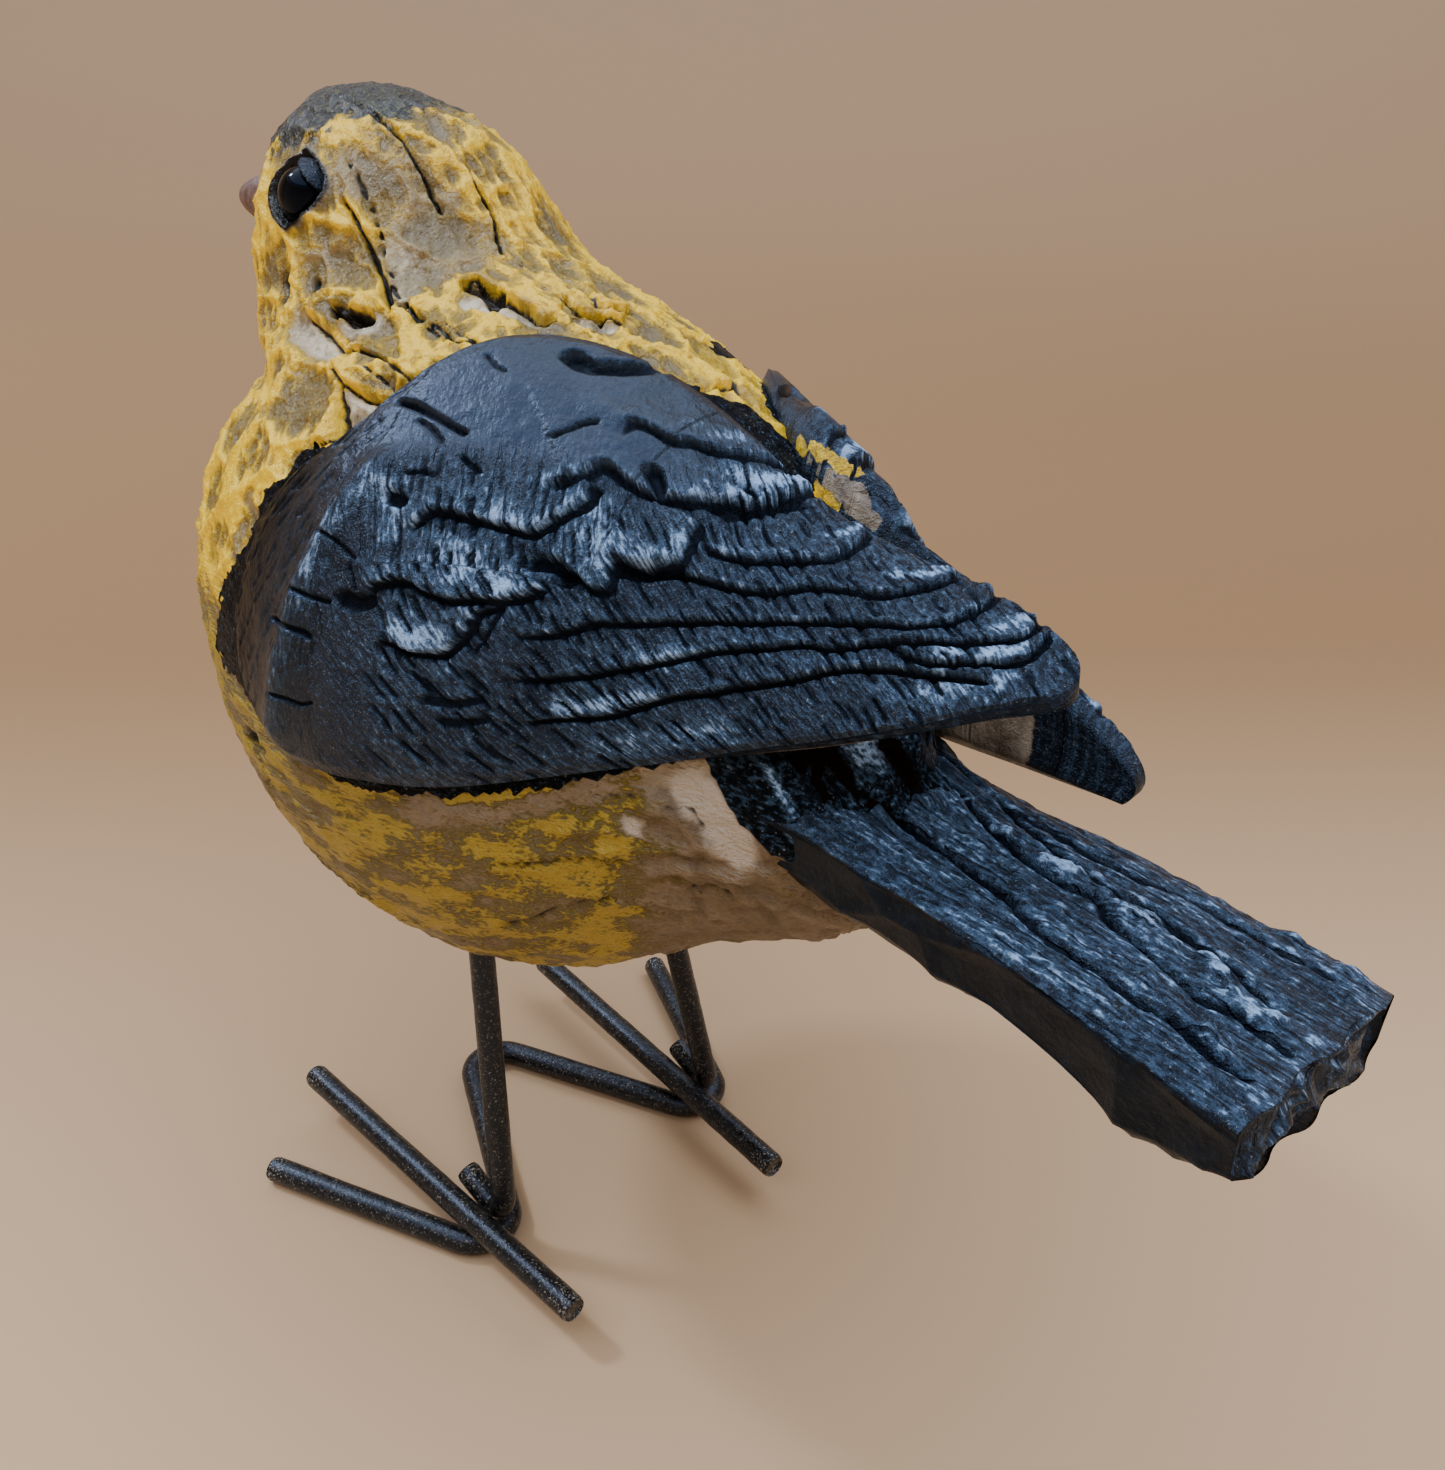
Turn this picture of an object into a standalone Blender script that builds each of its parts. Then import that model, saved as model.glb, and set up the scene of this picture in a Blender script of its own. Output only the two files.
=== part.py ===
"""A carved and painted bird that stands on feet of bent wire.

The carving is one solid: a round body, a head turned to its left, a short blunt beak, two
folded wings with rows of feathers, and a straight grooved tail. Its eyes are glossy beads set
in round sockets, and each leg is a wire pushed up into a blind hole in the belly.
One wire bent to a W lies on the ground as the outer and inner toes of both feet. A straight
bar crosses over each of its rear bends as the middle front toe and the hind toe, and the leg's
foot, bent forward and up, stands beside that bar on its right.
The bird looks along -Y, its left side is +X, and the ground is z = 0.
"""

from math import cos, pi, radians, sin, tan

import bmesh
import bpy
import numpy as np
from mathutils import Matrix, Vector

# Driving sizes, in metres
CARVING_LENGTH = 0.1350  # beak tip to tail end
BELLY_HEIGHT = 0.0420  # ground to the point in the belly that the carving is laid out from
SET_FORWARD = 0.0054  # that point, forward of the legs' feet
TOE_WIRE = 0.0030  # diameter of the toes' wire
LEG_WIRE = 0.0028  # diameter of the legs' wire
TOES_ASIDE = 0.0011  # the W of toes lies this far to the right of the body's middle
FOOT_SPREAD = 0.0336  # between the rear bends of the W
REAR_BEND_BACK = 0.0049  # those bends, behind the legs' feet
OUTER_TOE_SPREAD = 0.0618  # between the ends of the outer toes
OUTER_TOE_FRONT = 0.0274  # an outer toe's end, in front of the legs' feet
FRONT_BEND_AHEAD = 0.0325  # the bend that joins the inner toes, in front of the legs' feet
BARS_ASIDE = 0.0015  # the pair of bars lies this far to the left of the body's middle
BAR_FRONT_SPREAD = 0.0366  # between the bars' front ends
BAR_REAR_SPREAD = 0.0306  # between their rear ends
BAR_FRONT = 0.0346  # a bar's front end, in front of the legs' feet
BAR_REAR = 0.0159  # a bar's rear end, behind the legs' feet
FRONT_TOE_RISE = 0.0008  # a bar's front end above its height over the rear bend
WIRE_BEND = 0.0038  # radius of the W's bends, at the wire's middle line
LEG_BEND = 0.0018  # radius of a leg's bend
LEG_CORNER_HEIGHT = 0.0039  # where the lines of leg and foot meet, above the ground
LEG_FOOT_REACH = 0.0070  # the foot's end, in front of its leg
LEG_FOOT_RISE = 0.0027  # the foot's end, above that corner
LEG_SET_IN = 0.0080  # length of leg inside the belly
EYE_DIAMETER = 0.0058
EYE_SOCKET_DIAMETER = 0.0078
EYE_SOCKET_SINK = 0.0008  # middle of the round socket below the skin
CLEARANCE = 0.0003  # gap that touching pieces keep

# Driving angles, in degrees
CARVING_LEAN = 6.0  # the carving's left side is up by this
HEAD_TURN = 18.0  # the head looks this far to its left
EYE_AZIMUTH = 70.0  # from where the head looks, round to each side
EYE_ELEVATION = 28.0

# One millimetre of the carving at its real length: its free forms are shares of that length
MM = CARVING_LENGTH / 135.0

# The skin is one smooth blend of egg shapes: middle, half sizes, nose-up pitch and left turn
BLEND = 3.9
HEAD_MIDDLE = (1.2, -30.4, 60.8)
FACE_MIDDLE = (4.2, -39.8, 65.9)
LOBES = (
    ((0.0, -6.2, 26.9), (32.2, 36.2, 33.6), 15.0, 0.0),
    ((0.0, -26.9, 34.8), (24.3, 18.8, 24.4), 40.0, 0.0),
    (HEAD_MIDDLE, (14.2, 15.0, 16.3), 0.0, HEAD_TURN),
    ((0.0, -8.6, 45.3), (16.1, 20.1, 12.6), 29.0, 0.0),
    ((0.0, 18.2, 31.9), (14.5, 28.8, 18.2), 27.0, 0.0),
    (FACE_MIDDLE, (7.9, 7.8, 10.4), 0.0, HEAD_TURN),
)
BODY_MIDDLE = (0.0, -9.6, 39.0)  # every point of the skin can be seen from here
SKIN_REACH = 80.0  # farther than any point of the skin
NECK_CREASE = 0.9  # depth of the shallow ring between head and breast
CREASE_HEIGHT = 50.0
CREASE_WIDTH = 2.2
CREASE_BACK = -18.0  # the ring is only in front of this
CREASE_FADE = 8.0
LEG_IN_BELLY = (12.3, 0.2)  # where a leg's line passes the belly's middle height

# The beak is a blunt egg shape that runs from inside the face
BEAK_TIP = (9.6, -54.9, 66.2)
BEAK_HALF_WIDTH = 3.7
BEAK_HALF_HEIGHT = 4.1

# A wing is laid out round a level line through the body: along it in mm, and round it in
# degrees up from level. Its lower and upper edges run from the bend of the wing to its tip.
WING_LINE_HEIGHT = 28.5
LEFT_WING_EDGES = (
    ((-12, 2), (-3, -9), (10, -9), (20, -5), (30, 6), (39, 25), (49, 46), (57.8, 66)),
    ((-9, 31), (-2, 44), (3, 66), (13, 80), (27, 87), (40, 86), (50, 84), (57, 78)),
)
RIGHT_WING_EDGES = (
    ((-12, 2), (-3, -9), (10, -9), (20, -7), (30, -2), (40, 4), (49, 7), (56, 10)),
    ((-8, 28), (-1, 40), (5, 58), (15, 73), (26, 81), (38, 70), (49, 46), (56, 29)),
)
WING_BULGE = 1.4  # how far the wing's front edge is bowed
TIP_BULGE = 1.2
WING_PROUD = 2.4  # the wing's skin above the body's, away from its front
WING_FRONT_PROUD = 0.5
PLATE_ALONG = (30.0, 57.0)  # the free rear parts of the wings arch over the tail like a roof
PLATE_HALF_WIDTH = (13.8, 12.6)  # of that roof, at its front and at its tip
PLATE_HEIGHT = (21.6, 19.4)  # above the wing line
PLATE_MELT = 1.8  # how softly the roof runs into the wing on the body
WING_ROOT_THICKNESS = 5.4
WING_TIP_THICKNESS = 1.9
WING_THIN_FROM = 0.45  # share of the wing's length where it starts to get thin
WING_THIN_OVER = 0.40
WING_SPREAD_OVER = 0.25  # share of its length in which it comes up to its full height
WING_STATIONS = 31
WING_ROWS = 27

# Feathers lie over each other: where a feather's lower edge starts, along and across the
# wing as shares, where along the wing it ends in a round tip, and how proud its edge is
FEATHERS = (
    (0.54, 0.03, 0.975, 0.9),
    (0.50, 0.13, 0.930, 1.2),
    (0.46, 0.23, 0.890, 1.2),
    (0.43, 0.32, 0.830, 1.2),
    (0.50, 0.44, 0.800, 0.9),
    (0.54, 0.53, 0.770, 1.2),
    (0.50, 0.64, 0.680, 1.2),
    (0.26, 0.24, 0.430, 1.0),
    (0.26, 0.38, 0.540, 1.2),
    (0.40, 0.47, 0.570, 1.0),
    (0.44, 0.70, 0.620, 1.3),
    (0.42, 0.82, 0.590, 0.9),
)
FEATHER_FADE = 0.075  # share of the wing's width in which a feather's edge sinks back
FEATHER_LIP = 0.02
WING_RIDGE = 1.3  # height of the ridge behind the wing's front edge
WING_RIDGE_AT = 0.19
WING_RIDGE_WIDTH = 0.035

# The tail is a thick flat board that widens slightly, with three lengthwise grooves on top
TAIL_ROOT = 18.0
TAIL_END = 80.0
TAIL_ROOT_HALF_WIDTH = 9.6
TAIL_END_HALF_WIDTH = 12.6
TAIL_TOP = ((18, 27.5), (36, 28.2), (60, 27.6), (72, 26.4), (80, 25.6))
TAIL_UNDER = ((18, 17.0), (34, 22.5), (44, 21.3), (60, 20.6), (72, 18.4), (80, 19.4))
TAIL_STATIONS = 14
TAIL_COLUMNS = 28
TAIL_GROOVES = ((4.5, 0.12), (-1.5, 0.15), (-6.2, 0.16))  # place at mid tail, and its slant
TAIL_GROOVE_DEPTH = 1.2
TAIL_GROOVE_WIDTH = 0.9
TAIL_MID = 45.0
TAIL_NOTCH = 1.4  # depth of the dips in the end's outline
TAIL_CORNER = 1.6  # how far the top and underside round off at the sides
TAIL_UNDER_SHARE = 0.94  # width of the underside as a share of the top's
TAIL_GROOVE_FADE = 0.15

SKIN_SUBDIVISIONS = 5
SKIN_LEAN_TO_HEAD = 0.36  # the sphere that the skin starts as is set towards the head by this
KEPT_FACES = 0.66  # share of the joined carving's faces that is kept
WIRE_SIDES = 2  # bevel resolution of the wires
ARC_STEPS = 5
HOLE_SIDES = 16
HOLE_SHARE = 0.75  # length of a hole's cutter as a share of the leg's
SEARCH_STEP = 0.05  # mm


def clear_scene():
    for thing in list(bpy.data.objects):
        bpy.data.objects.remove(thing, do_unlink=True)


def new_collection(name):
    collection = bpy.data.collections.new(name)
    bpy.context.scene.collection.children.link(collection)
    return collection


def finish(name, colour, roughness, metallic=0.0):
    """A plain finish: colour is the paint's sRGB red, green and blue."""
    material = bpy.data.materials.new(name)
    material.use_nodes = True
    shader = material.node_tree.nodes["Principled BSDF"]
    shader.inputs["Base Color"].default_value = (*colour, 1.0)
    shader.inputs["Roughness"].default_value = roughness
    shader.inputs["Metallic"].default_value = metallic
    return material


def add_object(name, mesh, collection, material=None, parent=None):
    thing = bpy.data.objects.new(name, mesh)
    collection.objects.link(thing)
    thing.parent = parent
    if material:
        mesh.materials.append(material)
    return thing


def smooth(mesh, sharp_degrees=35.0):
    mesh.shade_smooth()
    mesh.set_sharp_from_angle(angle=radians(sharp_degrees))


def mesh_of(name, points, faces):
    mesh = bpy.data.meshes.new(name)
    mesh.from_pydata([tuple(float(v) for v in point) for point in points], [], faces)
    mesh.update()
    return mesh


def ramp(value):
    """0 below 0, 1 above 1, and a smooth rise between."""
    x = np.clip(value, 0.0, 1.0)
    return x * x * (3.0 - 2.0 * x)


def curve_through(points, share):
    """Points of a smooth curve through the given ones, at shares of its way from 0 to 1."""
    given = np.array(points, float)
    spans = len(given) - 1
    ends = np.vstack([2 * given[0] - given[1], given, 2 * given[-1] - given[-2]])
    place = np.clip(share * spans, 0.0, spans - 1e-9)
    span = place.astype(int)
    f = (place - span)[..., None]
    a, b, c, d = ends[span], ends[span + 1], ends[span + 2], ends[span + 3]
    bend = (2 * a - 5 * b + 4 * c - d) * f**2 + (-a + 3 * b - 3 * c + d) * f**3
    return 0.5 * (2 * b + (c - a) * f + bend)


# The skin of body and head


def skin_level(points):
    """Below 0 inside the skin, above 0 outside, and roughly the distance near it, in mm."""
    total = 0.0
    for middle, half, pitch, turn in LOBES:
        away = points - np.array(middle)
        side = np.array((cos(radians(turn)), sin(radians(turn)), 0.0))
        back = np.array((-sin(radians(turn)), cos(radians(turn)), 0.0))
        up = np.array((0.0, 0.0, 1.0))
        along = cos(radians(pitch)) * back - sin(radians(pitch)) * up
        over = sin(radians(pitch)) * back + cos(radians(pitch)) * up
        parts = [away @ side / half[0], away @ along / half[1], away @ over / half[2]]
        q = np.linalg.norm(parts, axis=0)
        total = total + np.exp(-(q - 1.0) * min(half) / BLEND)
    crease = NECK_CREASE * np.exp(-(((points[..., 2] - CREASE_HEIGHT) / CREASE_WIDTH) ** 2))
    front = ramp((CREASE_BACK - points[..., 1]) / CREASE_FADE)
    return crease * front - BLEND * np.log(total)


def skin_distance(start, direction, reach=SKIN_REACH):
    """How far from start the skin is, in mm, or 0 where start is already outside."""
    inside = skin_level(start) < 0
    low = np.zeros(direction.shape[:-1])
    high = np.full(direction.shape[:-1], reach)
    for _ in range(26):
        middle = (low + high) / 2
        within = skin_level(start + direction * middle[..., None]) < 0
        low = np.where(within, middle, low)
        high = np.where(within, high, middle)
    return np.where(inside, low, 0.0)


def skin_normal(point):
    """The way straight out of the skin at a point."""
    steps = SEARCH_STEP * np.eye(3)
    slopes = skin_level(point + steps) - skin_level(point - steps)
    return slopes / np.linalg.norm(slopes)


def body_mesh():
    """An icosphere, set towards the head and then moved out to the skin."""
    sphere = bmesh.new()
    bmesh.ops.create_icosphere(sphere, subdivisions=SKIN_SUBDIVISIONS, radius=1.0)
    points = np.array([vert.co for vert in sphere.verts])
    middle = np.array(BODY_MIDDLE)
    to_head = np.array(HEAD_MIDDLE) - middle
    points += SKIN_LEAN_TO_HEAD * to_head / np.linalg.norm(to_head)
    directions = points / np.linalg.norm(points, axis=1, keepdims=True)
    out = skin_distance(np.broadcast_to(middle, directions.shape), directions)
    for vert, place in zip(sphere.verts, (middle + directions * out[:, None]) * MM):
        vert.co = place
    bmesh.ops.recalc_face_normals(sphere, faces=sphere.faces)
    mesh = bpy.data.meshes.new("carved_bird")
    sphere.to_mesh(mesh)
    sphere.free()
    return mesh


def beak_mesh():
    """A sphere drawn out along the beak, from the middle of the face to the tip."""
    root = Vector(FACE_MIDDLE)
    along = Vector(BEAK_TIP) - root
    sphere = bmesh.new()
    bmesh.ops.create_uvsphere(sphere, u_segments=16, v_segments=12, radius=1.0)
    stretch = Matrix.Diagonal((BEAK_HALF_WIDTH, BEAK_HALF_HEIGHT, along.length, 1.0))
    turn = along.to_track_quat("Z", "Y").to_matrix().to_4x4()
    place = Matrix.Translation(root) @ turn @ stretch
    bmesh.ops.transform(sphere, matrix=place, verts=sphere.verts)
    bmesh.ops.scale(sphere, vec=(MM, MM, MM), verts=sphere.verts)
    mesh = bpy.data.meshes.new("beak")
    sphere.to_mesh(mesh)
    sphere.free()
    return mesh


# The wings


def feather_edge(start, row, tip, along):
    """How far across the wing a feather's lower edge lies: level at first, round at its tip."""
    u = np.clip((along - start) / (tip - start), 0.0, 1.0)
    return row + (1.0 - row) * (1.0 - (1.0 - u**1.3) ** 0.38)


def feather_relief(along, across):
    """Height of the feathers' lips, in mm. Each sinks back towards the next feather above."""
    height = np.zeros(along.shape)
    for start, row, tip, proud in FEATHERS:
        above = across - feather_edge(start, row, tip, along)
        lip = ramp(above / FEATHER_LIP + 0.5) * np.exp(-np.clip(above, 0, 1) / FEATHER_FADE)
        height += proud * lip * ramp((along - start) / 0.06 + 1.0) * (along < tip)
    ridge = np.exp(-(((along - WING_RIDGE_AT) / WING_RIDGE_WIDTH) ** 2))
    return height + WING_RIDGE * ridge * ramp((0.75 - across) / 0.2)


def wing_sheet(edges, side):
    """The outer and inner surface of a wing as grids of points in mm. side is 1 or -1."""
    s = np.linspace(0.0, 1.0, WING_STATIONS)
    t = np.linspace(0.0, 1.0, WING_ROWS)
    along, across = np.meshgrid(s, t, indexing="ij")
    lower = curve_through(edges[0], along)
    upper = curve_through(edges[1], along)
    place = lower + (upper - lower) * across[..., None]
    bow = 4.0 * across * (1.0 - across)
    y = place[..., 0] - WING_BULGE * bow * (1 - along) ** 6 + TIP_BULGE * bow * along**6
    angle = np.radians(place[..., 1])
    way = np.stack([side * np.cos(angle), np.zeros_like(y), np.sin(angle)], axis=-1)
    start = np.stack([np.zeros_like(y), y, np.full_like(y, WING_LINE_HEIGHT)], axis=-1)
    skin = skin_distance(start, way)
    spread = ramp(along / WING_SPREAD_OVER) * (0.7 + 0.3 * bow)
    proud = WING_FRONT_PROUD + (WING_PROUD - WING_FRONT_PROUD) * spread
    wide = np.interp(y, PLATE_ALONG, PLATE_HALF_WIDTH)
    high = np.interp(y, PLATE_ALONG, PLATE_HEIGHT)
    plate = 1.0 / np.hypot(np.cos(angle) / wide, np.sin(angle) / high)
    outer = PLATE_MELT * np.logaddexp((skin + proud) / PLATE_MELT, plate / PLATE_MELT)
    rim = ramp(np.minimum(np.minimum(across, 1 - across) / 0.08, (1 - along) / 0.04))
    thinned = ramp((along - WING_THIN_FROM) / WING_THIN_OVER)
    thick = WING_ROOT_THICKNESS + (WING_TIP_THICKNESS - WING_ROOT_THICKNESS) * thinned
    relief = feather_relief(along, across) * (0.3 + 0.7 * rim)
    outer_points = start + way * (outer + relief - 0.5 * (1 - rim))[..., None]
    inner_points = start + way * (outer - thick + 0.3 * (1 - rim) * (along > 0.6))[..., None]
    return outer_points, inner_points


def sheet_mesh(name, outer, inner):
    """A closed sheet between two grids of points that share their outline's order."""
    rows, columns = outer.shape[:2]
    points = np.concatenate([outer.reshape(-1, 3), inner.reshape(-1, 3)]) * MM
    below = rows * columns

    def at(i, j):
        return i * columns + j

    faces = []
    for i in range(rows - 1):
        for j in range(columns - 1):
            corners = (at(i, j), at(i + 1, j), at(i + 1, j + 1), at(i, j + 1))
            faces.append(corners)
            faces.append(tuple(below + corner for corner in reversed(corners)))
    border = [at(i, 0) for i in range(rows)]
    border += [at(rows - 1, j) for j in range(1, columns)]
    border += [at(i, columns - 1) for i in range(rows - 2, -1, -1)]
    border += [at(0, j) for j in range(columns - 2, 0, -1)]
    for here, there in zip(border, border[1:] + border[:1]):
        faces.append((there, here, below + here, below + there))
    mesh = mesh_of(name, points, faces)
    model = bmesh.new()
    model.from_mesh(mesh)
    bmesh.ops.triangulate(model, faces=model.faces)
    bmesh.ops.recalc_face_normals(model, faces=model.faces)
    model.to_mesh(mesh)
    model.free()
    return mesh


# The tail


def tail_sheet():
    """The top and underside of the tail as grids of points in mm."""
    s = np.linspace(TAIL_ROOT, TAIL_END, TAIL_STATIONS)
    t = np.linspace(-1.0, 1.0, TAIL_COLUMNS)
    y, across = np.meshgrid(s, t, indexing="ij")
    share = (y - TAIL_ROOT) / (TAIL_END - TAIL_ROOT)
    half = TAIL_ROOT_HALF_WIDTH + (TAIL_END_HALF_WIDTH - TAIL_ROOT_HALF_WIDTH) * share
    x = half * across
    top = np.interp(y, *zip(*TAIL_TOP))
    under = np.interp(y, *zip(*TAIL_UNDER))
    round_off = 1.0 - np.sqrt(1.0 - 0.96 * np.abs(across) ** 5)
    grooves = np.zeros_like(x)
    for middle, slant in TAIL_GROOVES:
        off = x - middle - slant * (y - TAIL_MID)
        grooves += TAIL_GROOVE_DEPTH * np.exp(-((off / TAIL_GROOVE_WIDTH) ** 2))
    end = y - TAIL_NOTCH * (0.5 - 0.5 * np.cos(3.0 * pi * across)) * share**12
    grooves *= ramp((1 - np.abs(across)) / TAIL_GROOVE_FADE)
    corner = TAIL_CORNER * round_off
    over = np.stack([x, end, top - corner - grooves], axis=-1)
    beneath = np.stack([TAIL_UNDER_SHARE * x, end, under + corner], axis=-1)
    return over, beneath


# The wires


def bent_path(corners, radius):
    """The corners with each inner one replaced by an arc of the given radius."""
    points = [Vector(corners[0])]
    for before, corner, after in zip(corners, corners[1:], corners[2:]):
        corner = Vector(corner)
        back = (Vector(before) - corner).normalized()
        ahead = (Vector(after) - corner).normalized()
        half = back.angle(ahead) / 2.0
        middle = corner + (back + ahead).normalized() * (radius / sin(half))
        start = (corner + back * (radius / tan(half)) - middle).normalized()
        end = (corner + ahead * (radius / tan(half)) - middle).normalized()
        for step in range(ARC_STEPS + 1):
            points.append(middle + start.slerp(end, step / ARC_STEPS) * radius)
    return points + [Vector(corners[-1])]


def wire(name, points, diameter, collection, material):
    """A round wire along the points, with flat ends."""
    curve = bpy.data.curves.new(name, "CURVE")
    curve.dimensions = "3D"
    curve.bevel_depth = diameter / 2.0
    curve.bevel_resolution = WIRE_SIDES
    curve.use_fill_caps = True
    spline = curve.splines.new("POLY")
    spline.points.add(len(points) - 1)
    for slot, point in zip(spline.points, points):
        slot.co = (*point, 1.0)
    return add_object(name, curve, collection, material)


def bar_point(side, y):
    """A point of a toe bar's middle line. It crosses just over the W's rear bend."""
    share = (y + BAR_FRONT) / (BAR_FRONT + BAR_REAR)
    spread = BAR_FRONT_SPREAD + (BAR_REAR_SPREAD - BAR_FRONT_SPREAD) * share
    height = 1.5 * TOE_WIRE + CLEARANCE + FRONT_TOE_RISE * max(0.0, -y) / BAR_FRONT
    return Vector((BARS_ASIDE + side * spread / 2.0, y, height))


def toes(collection, material):
    """The W of wire on the ground, and the bar over each of its rear bends."""
    floor = TOE_WIRE / 2.0
    bend = FOOT_SPREAD / 2.0
    end = OUTER_TOE_SPREAD / 2.0
    corners = [
        (end - TOES_ASIDE, -OUTER_TOE_FRONT, floor),
        (bend - TOES_ASIDE, REAR_BEND_BACK, floor),
        (-TOES_ASIDE, -FRONT_BEND_AHEAD, floor),
        (-bend - TOES_ASIDE, REAR_BEND_BACK, floor),
        (-end - TOES_ASIDE, -OUTER_TOE_FRONT, floor),
    ]
    wire("joined_toes", bent_path(corners, WIRE_BEND), TOE_WIRE, collection, material)
    for name, side in (("left_toe_bar", 1.0), ("right_toe_bar", -1.0)):
        ends = [bar_point(side, -BAR_FRONT), bar_point(side, BAR_REAR)]
        wire(name, ends, TOE_WIRE, collection, material)


def leg_points(side, place):
    """The leg's end in the belly, its corner and its foot's end. place is the carving's own."""
    beside = Vector((-(TOE_WIRE + LEG_WIRE) / 2.0 - CLEARANCE, 0.0, 0.0))
    foot = bar_point(side, 0.0) + beside
    foot.z = LEG_CORNER_HEIGHT
    toe = bar_point(side, -LEG_FOOT_REACH) + beside
    toe.z = LEG_CORNER_HEIGHT + LEG_FOOT_RISE
    out, back = LEG_IN_BELLY
    belly = place @ Vector((side * out * MM, back * MM, 0.0))
    to_belly = (belly - foot).normalized()
    inward = place.inverted().to_3x3() @ to_belly
    low = np.array(place.inverted() @ (belly - to_belly * BELLY_HEIGHT / 2.0)) / MM
    way = np.array(inward.normalized())
    steps = np.arange(0.0, BELLY_HEIGHT / MM, SEARCH_STEP)
    levels = skin_level(low + way * steps[:, None])
    entry = steps[np.argmax(levels < 0)] * MM
    skin = belly - to_belly * (BELLY_HEIGHT / 2.0 - entry)
    return skin + to_belly * LEG_SET_IN, foot, toe


def hole_cutter(name, top, foot, collection):
    """A round bar round the leg, a clearance wider and deeper than the wire in the belly."""
    way = (top - foot).normalized()
    length = (top - foot).length * HOLE_SHARE
    model = bmesh.new()
    bmesh.ops.create_cone(
        model,
        cap_ends=True,
        segments=HOLE_SIDES,
        radius1=LEG_WIRE / 2.0 + CLEARANCE,
        radius2=LEG_WIRE / 2.0 + CLEARANCE,
        depth=length,
    )
    mesh = bpy.data.meshes.new(name)
    model.to_mesh(mesh)
    model.free()
    cutter = helper(name, mesh, collection)
    middle = top + way * (CLEARANCE - length / 2.0)
    turn = way.to_track_quat("Z", "Y").to_matrix().to_4x4()
    cutter.matrix_world = Matrix.Translation(middle) @ turn
    return cutter


# The eyes


def eye_place(side):
    """Point of the skin at an eye and the way out of it, in mm."""
    around = radians(EYE_AZIMUTH)
    forward = np.array((sin(radians(HEAD_TURN)), -cos(radians(HEAD_TURN)), 0.0))
    sideways = np.array((cos(radians(HEAD_TURN)), sin(radians(HEAD_TURN)), 0.0)) * side
    level = cos(around) * forward + sin(around) * sideways
    way = cos(radians(EYE_ELEVATION)) * level + sin(radians(EYE_ELEVATION)) * np.array((0, 0, 1.0))
    middle = np.array(HEAD_MIDDLE)
    point = middle + way * skin_distance(middle, way)
    return point, skin_normal(point)


def ball(name, radius, middle, collection, material=None, parent=None):
    model = bmesh.new()
    bmesh.ops.create_icosphere(model, subdivisions=3, radius=radius)
    bmesh.ops.translate(model, vec=middle, verts=model.verts)
    mesh = bpy.data.meshes.new(name)
    model.to_mesh(mesh)
    model.free()
    mesh.shade_smooth()
    return add_object(name, mesh, collection, material, parent)


# Putting the carving together


def helper(name, mesh, collection, parent=None):
    thing = add_object(name, mesh, collection, parent=parent)
    thing.hide_render = True
    thing.display_type = "WIRE"
    return thing


def boolean(thing, other, operation):
    modifier = thing.modifiers.new(f"{operation.lower()}_{other.name}", "BOOLEAN")
    modifier.operation = operation
    modifier.solver = "EXACT"
    modifier.object = other


def carved_bird(parts, cutters, place, material):
    """Body, beak, wings and tail joined, with the eye sockets sunk in the head."""
    bird = add_object("carved_bird", body_mesh(), parts, material, place)
    shapes = {
        "tail": sheet_mesh("tail", *tail_sheet()),
        "left_wing": sheet_mesh("left_wing", *wing_sheet(LEFT_WING_EDGES, 1)),
        "right_wing": sheet_mesh("right_wing", *wing_sheet(RIGHT_WING_EDGES, -1)),
        "beak": beak_mesh(),
    }
    for name, mesh in shapes.items():
        boolean(bird, helper(name, mesh, cutters, place), "UNION")
    lighter = bird.modifiers.new("fewer_faces_where_it_is_plain", "DECIMATE")
    lighter.ratio = KEPT_FACES
    return bird


def set_eye(name, side, bird, parts, cutters, place, material):
    """A socket in the head, and the bead that fills it but for the clearance."""
    point, out = eye_place(side)
    skin = Vector(point * MM)
    out = Vector(out)
    socket_middle = skin - out * EYE_SOCKET_SINK
    socket = ball(f"{name}_socket", EYE_SOCKET_DIAMETER / 2.0, socket_middle, cutters, parent=place)
    socket.hide_render = True
    socket.display_type = "WIRE"
    boolean(bird, socket, "DIFFERENCE")
    floor = EYE_SOCKET_SINK + EYE_SOCKET_DIAMETER / 2.0
    bead_depth = floor - CLEARANCE - EYE_DIAMETER / 2.0
    ball(name, EYE_DIAMETER / 2.0, skin - out * bead_depth, parts, material, place)


def set_leg(name, side, bird, parts, cutters, place, material):
    """A blind hole up into the belly, and the leg's wire from it down to its bent foot."""
    top, foot, toe = leg_points(side, place.matrix_world)
    boolean(bird, hole_cutter(f"{name}_hole", top, foot, cutters), "DIFFERENCE")
    wire(name, bent_path([top, foot, toe], LEG_BEND), LEG_WIRE, parts, material)


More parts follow.
